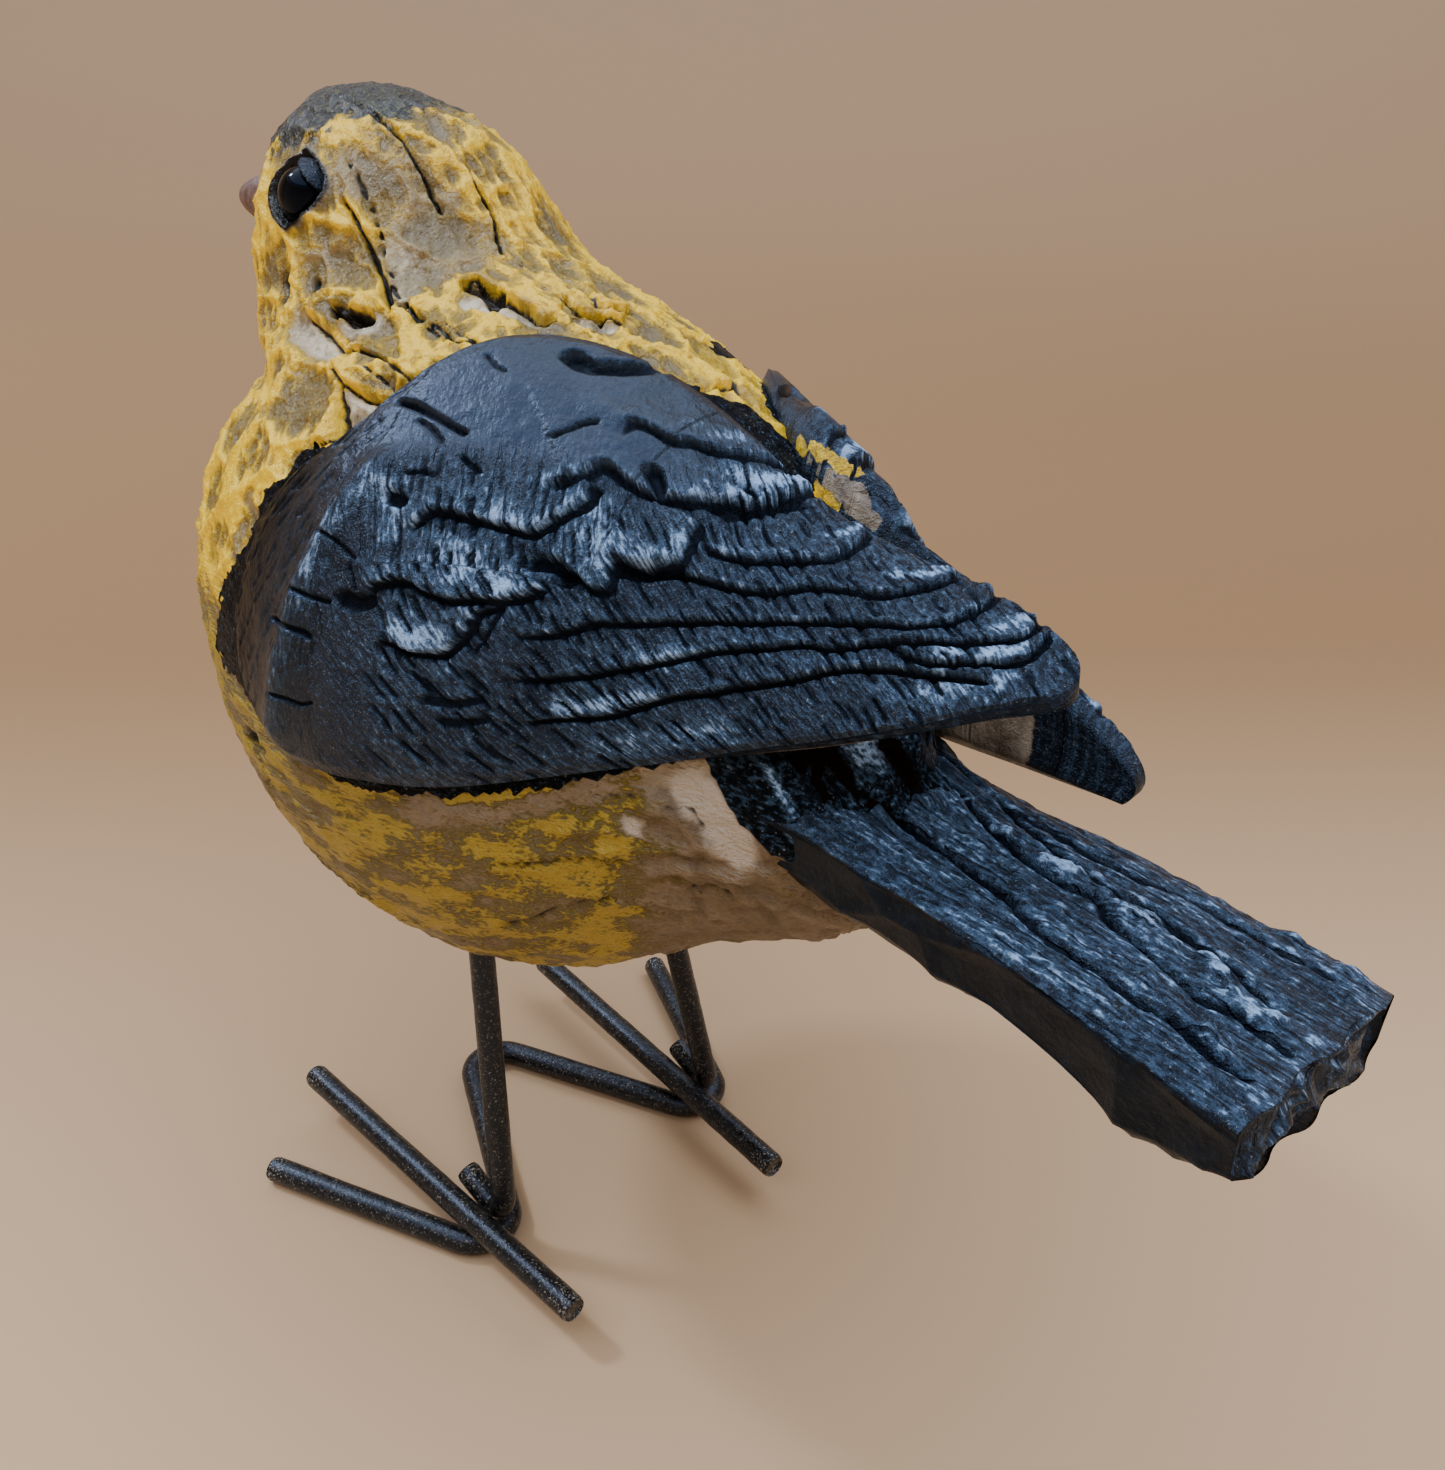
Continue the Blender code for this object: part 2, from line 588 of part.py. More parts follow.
def set_origin_under_middle(parts, cutters):
    """Moves everything in plan so that the origin is under the middle of the whole bird."""
    bpy.context.view_layer.update()
    graph = bpy.context.evaluated_depsgraph_get()
    corners = []
    for thing in parts.objects:
        shown = thing.evaluated_get(graph)
        mesh = shown.to_mesh()
        places = np.empty(len(mesh.vertices) * 3, np.float32)
        mesh.vertices.foreach_get("co", places)
        world = np.array(shown.matrix_world)
        corners.append(places.reshape(-1, 3) @ world[:3, :3].T + world[:3, 3])
        shown.to_mesh_clear()
    corners = np.concatenate(corners)
    middle = (corners.min(axis=0) + corners.max(axis=0)) / 2.0
    shift = Matrix.Translation((-middle[0], -middle[1], 0.0))
    for thing in [*parts.objects, *cutters.objects]:
        if thing.parent is None:
            thing.matrix_world = shift @ thing.matrix_world


def main():
    clear_scene()
    parts = new_collection("carved_bird_on_wire_feet")
    cutters = new_collection("joined_shapes_and_cutters")
    paint = finish("painted_carving", (0.42, 0.33, 0.12), 0.55)
    bead = finish("black_bead", (0.01, 0.01, 0.01), 0.08)
    black_wire = finish("black_painted_wire", (0.03, 0.03, 0.03), 0.45)

    place = bpy.data.objects.new("carving_place", None)
    parts.objects.link(place)
    place.location = (0.0, -SET_FORWARD, BELLY_HEIGHT)
    place.rotation_euler = (0.0, -radians(CARVING_LEAN), 0.0)
    bpy.context.view_layer.update()

    bird = carved_bird(parts, cutters, place, paint)
    for name, side in (("left", 1.0), ("right", -1.0)):
        set_eye(f"{name}_eye", side, bird, parts, cutters, place, bead)
        set_leg(f"{name}_leg", side, bird, parts, cutters, place, black_wire)
    toes(parts, black_wire)
    smooth(bird.data)
    parts.objects.unlink(place)
    cutters.objects.link(place)
    set_origin_under_middle(parts, cutters)


main()
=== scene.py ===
# %% [markdown]
# # A carved and painted songbird on wire feet
#
# The real object is a small ornament: a bird cut with a knife and a gouge, primed in cream,
# painted in thick strokes of yellow and black, and then dry-brushed with pale blue so that every
# raised edge of a feather catches the light. It stands on four bent wires.
#
# Its main form already exists as plain solids. This script loads them, and then makes the
# surface that a hand would feel: gouge marks, cracks, feather edges, knife cuts and worn paint.
# Points are worked out with numpy, because a carved surface is a rule for how high each point
# lies, and one rule can shape a hundred thousand points at once.

# %% Load the solids
from math import cos, pi, radians, sin, tan

import bmesh
import bpy
import numpy as np
from mathutils import Matrix, Vector


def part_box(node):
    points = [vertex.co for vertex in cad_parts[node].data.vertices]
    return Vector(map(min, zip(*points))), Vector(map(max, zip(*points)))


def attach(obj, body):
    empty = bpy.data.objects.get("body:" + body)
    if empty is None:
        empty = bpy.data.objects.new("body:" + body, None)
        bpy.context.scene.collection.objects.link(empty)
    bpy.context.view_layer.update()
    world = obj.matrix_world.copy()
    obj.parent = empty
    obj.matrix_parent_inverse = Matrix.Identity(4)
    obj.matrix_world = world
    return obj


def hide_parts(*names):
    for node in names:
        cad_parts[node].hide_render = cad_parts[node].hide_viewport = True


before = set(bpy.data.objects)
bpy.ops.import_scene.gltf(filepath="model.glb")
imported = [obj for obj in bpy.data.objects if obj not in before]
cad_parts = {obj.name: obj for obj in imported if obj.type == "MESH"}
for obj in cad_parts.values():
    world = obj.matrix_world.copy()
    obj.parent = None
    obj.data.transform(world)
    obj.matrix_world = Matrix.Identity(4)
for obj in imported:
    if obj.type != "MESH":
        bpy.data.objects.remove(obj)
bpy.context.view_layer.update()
print("nodes:", sorted(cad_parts))

# %% [markdown]
# ## Sizes and the carving's own frame
#
# The carving leans a little on its legs, so it is easiest to shape it in a frame of its own, in
# millimetres, and to set the finished points into the world at the end. That frame is found from
# the wires: the toes' bends and the rear ends of the two bars say where the bird stands.

# %% Where the carving stands
MM = 0.001
BELLY_HEIGHT = 42.0  # ground to the carving's own origin, in mm
SET_FORWARD = 5.4  # that origin, forward of the legs' feet
CARVING_LEAN = 6.0  # degrees, the bird's left side up
HEAD_TURN = 18.0  # degrees, towards the bird's left
TOES_ASIDE = 1.1  # the bent wire of the toes lies this far to the bird's right
BAR_END = 15.99  # a toe bar's rear end, behind the legs' feet

toe_low, toe_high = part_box("joined_toes")
bar_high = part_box("left_toe_bar")[1]
stand = np.array([(toe_low.x + toe_high.x) / 2 / MM + TOES_ASIDE, bar_high.y / MM - BAR_END, 0.0])
lean = radians(CARVING_LEAN)
TURN_OUT = np.array([[cos(lean), 0, -sin(lean)], [0, 1, 0], [sin(lean), 0, cos(lean)]])
CARVING_ORIGIN = stand + np.array([0.0, -SET_FORWARD, BELLY_HEIGHT])


def to_world(points):
    """Carving millimetres to world millimetres."""
    return points @ TURN_OUT.T + CARVING_ORIGIN


def to_carving(points):
    """World millimetres to carving millimetres."""
    return (points - CARVING_ORIGIN) @ TURN_OUT


print("carving origin, mm:", CARVING_ORIGIN.round(2))

# %% [markdown]
# ## The camera
#
# A camera is placed by a point and three directions. These were found by fitting the straight
# wires of the feet, whose thickness is known, to the picture. The lens follows from the picture's
# width and the focal length in pixels. `pixel_of` does by hand what the camera does, so that a
# crack can later be placed by where it is seen and still sit on the carving.

# %% Camera
PICTURE = (1445, 1470)
FOCAL_PIXELS = 1310.97
SENSOR = 36.0
CAMERA_FROM_FEET = (74.56, 94.11, 124.31)  # mm, from midway between the legs' feet
YAW, PITCH, ROLL = 224.54, 27.27, -1.99  # degrees


def camera_directions():
    """Right, down and forward of the view, as rows."""
    yaw, pitch, roll = radians(YAW), radians(PITCH), radians(ROLL)
    forward = np.array([sin(yaw) * cos(pitch), cos(yaw) * cos(pitch), -sin(pitch)])
    right = np.cross(forward, (0, 0, 1))
    right /= np.linalg.norm(right)
    down = np.cross(forward, right)
    return np.array([cos(roll) * right + sin(roll) * down, cos(roll) * down - sin(roll) * right, forward])


VIEW = camera_directions()
EYE_POINT = stand + np.array(CAMERA_FROM_FEET)
lens = bpy.data.cameras.new("camera")
lens.sensor_width = SENSOR
lens.lens = SENSOR * FOCAL_PIXELS / max(PICTURE)
lens.clip_start = 0.005  # the tail's end is nearer than Blender's usual 0.1 m
camera = bpy.data.objects.new("camera", lens)
turn = Matrix([VIEW[0], -VIEW[1], -VIEW[2]]).transposed().to_4x4()
camera.matrix_world = Matrix.Translation(Vector(EYE_POINT) * MM) @ turn
bpy.context.scene.collection.objects.link(camera)
bpy.context.scene.camera = camera


def pixel_of(points):
    """Where the camera sees points given in carving millimetres."""
    seen = (to_world(points) - EYE_POINT) @ VIEW.T
    middle = np.array(PICTURE) / 2
    return middle + FOCAL_PIXELS * seen[:, :2] / seen[:, 2:]


print("lens, mm:", round(lens.lens, 2))

# %% [markdown]
# ## Rules that shape a surface
#
# Four small rules do most of the carving: a soft step, a smooth curve through a few points, a
# cloudy noise for lumps of paint, and a pattern of scoops for gouge marks. A distance to a drawn
# line then turns any line into a crack, a lip or a ridge.

# %% Rules
LATTICE = 32


def ramp(value):
    """0 below 0, 1 above 1, and a smooth rise between."""
    x = np.clip(value, 0.0, 1.0)
    return x * x * (3.0 - 2.0 * x)


def bell(value):
    """1 at 0, falling smoothly to nearly 0 at 2 and at -2."""
    return np.exp(-(value**2))


def curve_through(points, share):
    """Points of a smooth curve through the given ones, at shares of its way from 0 to 1."""
    given = np.array(points, float)
    spans = len(given) - 1
    ends = np.vstack([2 * given[0] - given[1], given, 2 * given[-1] - given[-2]])
    place = np.clip(share * spans, 0.0, spans - 1e-9)
    span = place.astype(int)
    f = (place - span)[..., None]
    a, b, c, d = ends[span], ends[span + 1], ends[span + 2], ends[span + 3]
    bend = (2 * a - 5 * b + 4 * c - d) * f**2 + (-a + 3 * b - 3 * c + d) * f**3
    return 0.5 * (2 * b + (c - a) * f + bend)


def cloud(points, size, seed):
    """Smooth noise from 0 to 1. size is how far apart its lumps are, in mm."""
    table = np.random.default_rng(seed).random((LATTICE,) * 3)
    place = points / size
    cell = np.floor(place).astype(int)
    f = place - cell
    f = f * f * (3 - 2 * f)
    total = np.zeros(len(points))
    for x in (0, 1):
        for y in (0, 1):
            for z in (0, 1):
                weight = np.abs(1 - x - f[:, 0]) * np.abs(1 - y - f[:, 1]) * np.abs(1 - z - f[:, 2])
                corner = (cell + (x, y, z)) % LATTICE
                total += weight * table[corner[:, 0], corner[:, 1], corner[:, 2]]
    return total


def clouds(points, size, seed, layers=3):
    """Noise from 0 to 1 with finer noise laid over it."""
    parts = [cloud(points, size / 2**n, seed + n) / 2**n for n in range(layers)]
    return sum(parts) / sum(1 / 2**n for n in range(layers))


def scoops(points, size, seed):
    """0 in the middle of a gouge mark, 1 on the ridge between two marks."""
    spots = np.random.default_rng(seed).random((LATTICE, LATTICE, LATTICE, 3))
    place = points / size
    cell = np.floor(place).astype(int)
    first = np.full(len(points), 9.0)
    second = first.copy()
    for step in np.ndindex(3, 3, 3):
        near = cell + np.array(step) - 1
        index = near % LATTICE
        spot = near + spots[index[:, 0], index[:, 1], index[:, 2]]
        away = np.linalg.norm(place - spot, axis=1)
        second = np.minimum(second, np.maximum(first, away))
        first = np.minimum(first, away)
    return first / second


def to_line(points, line, steps=5):
    """Distance of each point to a smooth line, the share of its length, and the side (1 is left)."""
    corners = curve_through(line, np.linspace(0, 1, steps * (len(line) - 1) + 1))
    least = np.full(len(points), np.inf)
    share = np.zeros(len(points))
    side = np.ones(len(points))
    for n, (a, b) in enumerate(zip(corners, corners[1:])):
        way = b - a
        off = points - a
        f = np.clip(off @ way / max(way @ way, 1e-9), 0, 1)
        away = np.linalg.norm(off - f[:, None] * way, axis=1)
        nearer = away < least
        least = np.where(nearer, away, least)
        share = np.where(nearer, (n + f) / (len(corners) - 1), share)
        left = np.sign(way[0] * off[:, 1] - way[1] * off[:, 0])
        side = np.where(nearer, left, side)
    return least, share, side


def seen_at(pixels, points, normals):
    """Which of the points that face the camera lie nearest to the given pixels."""
    towards = to_carving(EYE_POINT[None]) - points
    faces_camera = (towards * normals).sum(axis=1) > 0
    place = pixel_of(points)
    found = []
    for pixel in pixels:
        away = np.linalg.norm(place - pixel, axis=1) + np.where(faces_camera, 0, 1e6)
        found.append(int(np.argmin(away)))
    return found


# %% [markdown]
# ## Turning points into a mesh
#
# `mesh_object` takes points and faces, sets them into the world and stores extra numbers on each
# point. Such a number is called an attribute. It says how worn or how deep that point is, and
# the material reads it back, so paint and carving always agree.

# %% Mesh helper
def mesh_object(name, points, faces, numbers=None, vectors=None, flat=False):
    """A mesh from carving millimetres, or from world millimetres where flat is set."""
    mesh = bpy.data.meshes.new(name)
    placed = (points if flat else to_world(points)) * MM
    mesh.from_pydata(placed.tolist(), [], faces)
    for key, values in (numbers or {}).items():
        slot = mesh.attributes.new(key, "FLOAT", "POINT")
        slot.data.foreach_set("value", np.asarray(values, np.float32))
    for key, values in (vectors or {}).items():
        slot = mesh.attributes.new(key, "FLOAT_VECTOR", "POINT")
        slot.data.foreach_set("vector", np.asarray(values, np.float32).ravel())
    mesh.update()
    mesh.shade_smooth()
    thing = bpy.data.objects.new(name, mesh)
    bpy.context.scene.collection.objects.link(thing)
    mesh.calc_loop_triangles()
    print(f"{name}: {len(mesh.vertices)} points, {len(mesh.loop_triangles)} triangles")
    return thing


def slopes_of(points, faces):
    """The way out of the surface at each point."""
    corners = np.array(faces)
    a, b, c = points[corners[:, 0]], points[corners[:, 1]], points[corners[:, 2]]
    across = np.cross(b - a, c - a)
    total = np.zeros_like(points)
    for k in range(corners.shape[1]):
        np.add.at(total, corners[:, k], across)
    return total / np.maximum(np.linalg.norm(total, axis=1, keepdims=True), 1e-9)


# %% [markdown]
# ## The round skin of body and head
#
# The plain solid of body, breast, head and face is a blend of egg shapes. The same rule is used
# here, so the fine skin lies exactly on the solid, and a ball of triangles is moved out to it.
# The ball is split finest where the picture's camera sees it, less finely on the far side, and
# it is left coarse where the wings cover it.

# %% The skin's rule
BLEND = 3.9
HEAD_MIDDLE = (1.2, -30.4, 60.8)
FACE_MIDDLE = (4.2, -39.8, 65.9)
LOBES = (  # middle, half sizes, nose-up pitch, left turn
    ((0.0, -6.2, 26.9), (32.2, 36.2, 33.6), 15.0, 0.0),
    ((0.0, -26.9, 34.8), (24.3, 18.8, 24.4), 40.0, 0.0),
    (HEAD_MIDDLE, (14.2, 15.0, 16.3), 0.0, HEAD_TURN),
    ((0.0, -8.6, 45.3), (16.1, 20.1, 12.6), 29.0, 0.0),
    ((0.0, 18.2, 31.9), (14.5, 28.8, 18.2), 27.0, 0.0),
    (FACE_MIDDLE, (7.9, 7.8, 10.4), 0.0, HEAD_TURN),
)
BODY_MIDDLE = (0.0, -9.6, 39.0)
CREASE_DEPTH, CREASE_HEIGHT, CREASE_WIDTH = 0.9, 50.0, 2.2


def skin_level(points):
    """Below 0 inside the skin and above 0 outside, in mm near it."""
    total = 0.0
    up = np.array((0.0, 0.0, 1.0))
    for middle, half, pitch, left in LOBES:
        away = points - np.array(middle)
        side = np.array((cos(radians(left)), sin(radians(left)), 0.0))
        back = np.array((-sin(radians(left)), cos(radians(left)), 0.0))
        along = cos(radians(pitch)) * back - sin(radians(pitch)) * up
        over = sin(radians(pitch)) * back + cos(radians(pitch)) * up
        parts = (away @ side / half[0]) ** 2 + (away @ along / half[1]) ** 2 + (away @ over / half[2]) ** 2
        total = total + np.exp(-(np.sqrt(parts) - 1.0) * min(half) / BLEND)
    crease = CREASE_DEPTH * bell((points[..., 2] - CREASE_HEIGHT) / CREASE_WIDTH)
    return crease * ramp((-18.0 - points[..., 1]) / 8.0) - BLEND * np.log(total)


def skin_distance(start, way, reach=80.0):
    """How far from start the skin is, in mm, or 0 where start is already outside."""
    inside = skin_level(start) < 0
    low = np.zeros(way.shape[:-1])
    high = np.full(way.shape[:-1], reach)
    for _ in range(24):
        middle = (low + high) / 2
        within = skin_level(start + way * middle[..., None]) < 0
        low = np.where(within, middle, low)
        high = np.where(within, high, middle)
    return np.where(inside, low, 0.0)


def skin_normals(points):
    """The way straight out of the skin at each point."""
    step = 0.05
    slopes = [skin_level(points + step * axis) - skin_level(points - step * axis) for axis in np.eye(3)]
    out = np.stack(slopes, axis=-1)
    return out / np.linalg.norm(out, axis=-1, keepdims=True)


# %% The skin's ball of triangles
FIRST_SPLITS = 6
LEAN_TO_HEAD = 0.36  # the ball is set towards the head, which puts more faces there
PAST_OUTLINE = -0.2  # the fine skin goes a little past the outline that the camera sees
WING_LINE_HEIGHT = 28.5  # mm, the level line that the wings' angles turn about
COVERED_FROM = -4.0  # mm along the body
COVERED_LOW = ((-10, 6), (20, 4), (30, 14), (50, 50))  # mm along the body, degrees up from level
COVERED_HIGH = ((-10, 22), (0, 34), (10, 62), (20, 76))


def on_skin(points):
    """Moves the points of a ball out to the skin."""
    middle = np.array(BODY_MIDDLE)
    to_head = np.array(HEAD_MIDDLE) - middle
    shifted = points / np.linalg.norm(points, axis=1, keepdims=True)
    shifted = shifted + LEAN_TO_HEAD * to_head / np.linalg.norm(to_head)
    ways = shifted / np.linalg.norm(shifted, axis=1, keepdims=True)
    out = skin_distance(np.broadcast_to(middle, ways.shape), ways)
    return middle + ways * out[:, None]


def under_wing(places):
    """True where a wing or the tail's root covers the skin well away from its edge."""
    angle = np.degrees(np.arctan2(places[:, 2] - WING_LINE_HEIGHT, np.abs(places[:, 0])))
    low = np.interp(places[:, 1], *zip(*COVERED_LOW))
    high = np.interp(places[:, 1], *zip(*COVERED_HIGH))
    return (angle > low) & (angle < high) & (places[:, 1] > COVERED_FROM)


def shows_close(places):
    """True where the skin faces the camera or nearly does, so it is seen close by."""
    towards = to_carving(EYE_POINT) - places
    towards = towards / np.linalg.norm(towards, axis=1, keepdims=True)
    return (towards * skin_normals(places)).sum(axis=1) > PAST_OUTLINE


def split_ball():
    """The ball's points and triangles, split once more beyond the wings, and twice where seen close by."""
    ball = bmesh.new()
    bmesh.ops.create_icosphere(ball, subdivisions=FIRST_SPLITS, radius=1.0)
    for rule in (lambda p: ~under_wing(p), lambda p: ~under_wing(p) & shows_close(p)):
        places = on_skin(np.array([vert.co for vert in ball.verts]))
        chosen = rule(places)
        ball.verts.index_update()
        edges = {e for f in ball.faces if all(chosen[v.index] for v in f.verts) for e in f.edges}
        bmesh.ops.subdivide_edges(ball, edges=list(edges), cuts=1, use_grid_fill=True)
        bmesh.ops.triangulate(ball, faces=[f for f in ball.faces if len(f.verts) > 3])
    ball.verts.index_update()
    points = np.array([vert.co for vert in ball.verts])
    faces = [[v.index for v in f.verts] for f in ball.faces]
    ball.free()
    return points, faces


ball_points, skin_faces = split_ball()
skin_points = on_skin(ball_points)
skin_out = skin_normals(skin_points)
print("skin:", len(skin_points), "points,", len(skin_faces), "triangles")

# %% The wings' rule
LEFT_WING_EDGES = (  # along the level wing line in mm, and degrees up from level
    ((-12, 2), (-3, -9), (10, -9), (20, -5), (30, 6), (39, 25), (49, 46), (57.8, 66)),
    ((-9, 31), (-2, 44), (3, 66), (13, 80), (27, 87), (40, 86), (50, 84), (57, 78)),
)
RIGHT_WING_EDGES = (
    ((-12, 2), (-3, -9), (10, -9), (20, -7), (30, -2), (40, 4), (49, 7), (56, 10)),
    ((-8, 28), (-1, 40), (5, 58), (15, 73), (26, 81), (38, 70), (49, 46), (56, 29)),
)
WING_BULGE, TIP_BULGE = 1.4, 1.2
WING_PROUD, WING_FRONT_PROUD = 2.4, 0.5
PLATE_ALONG = (30, 57)  # the free rear parts of the wings arch over the tail like a roof
PLATE_HALF_WIDTH = (13.8, 12.6)
PLATE_HEIGHT = (21.6, 19.4)
PLATE_MELT = 1.8
WING_ROOT_THICKNESS, WING_TIP_THICKNESS = 5.4, 1.9
FRONT_SUNK = 0.5  # the wing's front edge lies level with the body
FRONT_RAGGED = 1.2  # mm, how far the paint's front edge wanders
WING_STATIONS = 345
WING_ROWS = 257  # over the outside
INNER_SHARE = 16  # outer rows to one inner row
RIM_ROWS = 3
MEAN_RADIUS = ((-10, 31), (30, 26), (58, 19))  # mm along the wing, mm from the wing line


def wing_frame(edges, side, along, across):
    """Start on the wing line, way outwards, outer distance and thickness at shares of a wing."""
    lower = curve_through(edges[0], along)
    upper = curve_through(edges[1], along)
    place = lower + (upper - lower) * across[..., None]
    bow = 4.0 * across * (1.0 - across)
    y = place[..., 0] - WING_BULGE * bow * (1 - along) ** 6 + TIP_BULGE * bow * along**6
    down_front = np.column_stack([60 * across.ravel(), np.full(across.size, side), 0 * across.ravel()])
    ragged = clouds(down_front, 3.0, 400).reshape(across.shape) - 0.5
    y = y + FRONT_RAGGED * ragged * (1 - along) ** 12
    angle = np.radians(place[..., 1])
    way = np.stack([side * np.cos(angle), np.zeros_like(y), np.sin(angle)], axis=-1)
    start = np.stack([np.zeros_like(y), y, np.full_like(y, WING_LINE_HEIGHT)], axis=-1)
    skin = skin_distance(start, way)
    proud = WING_FRONT_PROUD + (WING_PROUD - WING_FRONT_PROUD) * ramp(along / 0.25) * (0.7 + 0.3 * bow)
    wide = np.interp(y, PLATE_ALONG, PLATE_HALF_WIDTH)
    high = np.interp(y, PLATE_ALONG, PLATE_HEIGHT)
    plate = 1.0 / np.hypot(np.cos(angle) / wide, np.sin(angle) / high)
    outer = PLATE_MELT * np.logaddexp((skin + proud) / PLATE_MELT, plate / PLATE_MELT)
    thick = WING_ROOT_THICKNESS + (WING_TIP_THICKNESS - WING_ROOT_THICKNESS) * ramp((along - 0.45) / 0.4)
    return start, way, outer, thick, angle


def wing_base(edges, side):
    """The smooth outside of a wing as a grid, with what its relief needs to know."""
    s = np.linspace(0.0, 1.0, WING_STATIONS)
    t = np.linspace(0.0, 1.0, WING_ROWS)
    along, across = np.meshgrid(s, t, indexing="ij")
    start, way, outer, thick, angle = wing_frame(edges, side, along, across)
    unrolled = np.interp(start[..., 1], *zip(*MEAN_RADIUS)) * angle
    flat = np.stack([start[..., 1], unrolled], axis=-1).reshape(-1, 2)
    return {"s": along, "t": across, "start": start, "way": way, "outer": outer, "thick": thick, "flat": flat}


left_base = wing_base(LEFT_WING_EDGES, 1)
right_base = wing_base(RIGHT_WING_EDGES, -1)
left_points = (left_base["start"] + left_base["way"] * left_base["outer"][..., None]).reshape(-1, 3)
left_ways = left_base["way"].reshape(-1, 3)
left_pixels = pixel_of(left_points)
print("wing pixels, lowest and highest:", left_pixels.min(axis=0), left_pixels.max(axis=0))


def ring_faces(stations, ring):
    """Four-sided faces between neighbouring rings of points."""
    here = np.arange(stations - 1)[:, None] * ring + np.arange(ring)[None]
    after = np.roll(here, -1, axis=1)
    return np.stack([here, here + ring, after + ring, after], axis=-1).reshape(-1, 4)


def wing_rings(base, relief):
    """Closed rings of points round a wing: outside, upper rim, inside and lower rim."""
    s, t, start, way = base["s"], base["t"], base["start"], base["way"]
    outer = base["outer"] + relief
    thick = base["thick"]
    inner = base["outer"] - thick + 0.25 * thick * ((1 - ramp(np.minimum(t, 1 - t) / 0.08)) * (s > 0.6))
    pick = np.arange(WING_ROWS - 1, -1, -INNER_SHARE)
    outside = start + way * outer[..., None]
    inside = (start + way * inner[..., None])[:, pick]
    share = np.arange(1, RIM_ROWS + 1)[None, :, None] / (RIM_ROWS + 1)
    upper_rim = outside[:, -1:] + (inside[:, :1] - outside[:, -1:]) * share
    lower_rim = inside[:, -1:] + (outside[:, :1] - inside[:, -1:]) * share
    return np.concatenate([outside, upper_rim, inside, lower_rim], axis=1)


def end_caps(stations, ring):
    """Faces that close a wing's first and last ring, each from some outer and two inner points."""
    caps = []
    inner = WING_ROWS + RIM_ROWS
    count = (WING_ROWS - 1) // INNER_SHARE
    for first, flip in ((0, False), ((stations - 1) * ring, True)):
        for k in range(count):
            outside = [first + k * INNER_SHARE + n for n in range(INNER_SHARE + 1)]
            inside = [first + inner + count - k - 1, first + inner + count - k]
            caps.append((outside + inside)[:: -1 if flip else 1])
        caps.append([first + WING_ROWS - 1 + n for n in range(RIM_ROWS + 2)][:: -1 if flip else 1])
        rest = [first + ring - RIM_ROWS - 1 + n for n in range(RIM_ROWS + 1)] + [first]
        caps.append(rest[:: -1 if flip else 1])
    return caps


def wing_object(name, rings, numbers, vectors, side):
    """The mesh of one wing, with its faces turned over on the right side."""
    ring = rings.shape[1]
    faces = ring_faces(WING_STATIONS, ring).tolist() + end_caps(WING_STATIONS, ring)
    if side < 0:
        faces = [face[::-1] for face in faces]
    return mesh_object(name, rings.reshape(-1, 3), faces, numbers, vectors)


# %% [markdown]
# ## The tail, the beak and the wires
#
# The tail is a thick board. It is built as a tube of many-sided rings, so that its top, its
# sides and its rough end can all be carved. The last rings shrink to a point and close the end.

# %% The tail's rule
TAIL_ROOT, TAIL_END = 18.0, 80.0
TAIL_ROOT_HALF_WIDTH, TAIL_END_HALF_WIDTH = 9.6, 12.6
TAIL_TOP = ((18, 27.5), (36, 28.2), (60, 27.6), (72, 26.4), (80, 25.6))
TAIL_UNDER = ((18, 17.0), (34, 22.5), (44, 21.3), (60, 20.6), (72, 18.4), (80, 19.4))
TAIL_NOTCH = 0.6
TAIL_STATIONS = 385
TOP_COLUMNS, SIDE_ROWS, UNDER_COLUMNS = 150, 26, 38
END_RINGS = np.linspace(0.98, 0.04, 24)  # shares of the end's size


def tail_rings():
    """Rings of points along the tail, from its root to the middle of its end face."""
    s = np.linspace(TAIL_ROOT, TAIL_END, TAIL_STATIONS)[:, None]
    share = (s - TAIL_ROOT) / (TAIL_END - TAIL_ROOT)
    half = TAIL_ROOT_HALF_WIDTH + (TAIL_END_HALF_WIDTH - TAIL_ROOT_HALF_WIDTH) * share
    top = np.interp(s, *zip(*TAIL_TOP))
    under = np.interp(s, *zip(*TAIL_UNDER))
    parts = []
    for across, level, sign, narrow in (
        (np.linspace(1, -1, TOP_COLUMNS), top, -1, 1.0),
        (np.linspace(-1, 1, UNDER_COLUMNS), under, 1, 0.94),
    ):
        across = across[None, :] + 0 * s
        rounded = 1.0 - np.sqrt(1.0 - 0.96 * np.abs(across) ** 5)
        y = s - TAIL_NOTCH * (0.5 - 0.5 * np.cos(3.0 * pi * across)) * share**12
        parts.append(np.stack([narrow * half * across, y, level + sign * 1.6 * rounded], axis=-1))
    over, beneath = parts
    f = (np.arange(1, SIDE_ROWS + 1) / (SIDE_ROWS + 1))[None, :, None]
    right = over[:, -1:] * (1 - f) + beneath[:, :1] * f
    left = beneath[:, -1:] * (1 - f) + over[:, :1] * f
    rings = np.concatenate([over, right, beneath, left], axis=1)
    return with_end(rings)


def with_end(rings):
    """The rings and their end face, whose rings are the last one shrunk towards its middle."""
    last = rings[-1]
    middle = last.mean(axis=0)
    caps = [middle + (last - middle) * (k, 0.4 + 0.6 * k, k) for k in END_RINGS]
    return np.concatenate([rings, np.array(caps)])


tail_base = tail_rings()
tail_ring = tail_base.shape[1]
tail_faces = ring_faces(len(tail_base), tail_ring).tolist()
tail_faces.append(list(range(tail_ring))[::-1])
tail_faces.append([(len(tail_base) - 1) * tail_ring + n for n in range(tail_ring)])

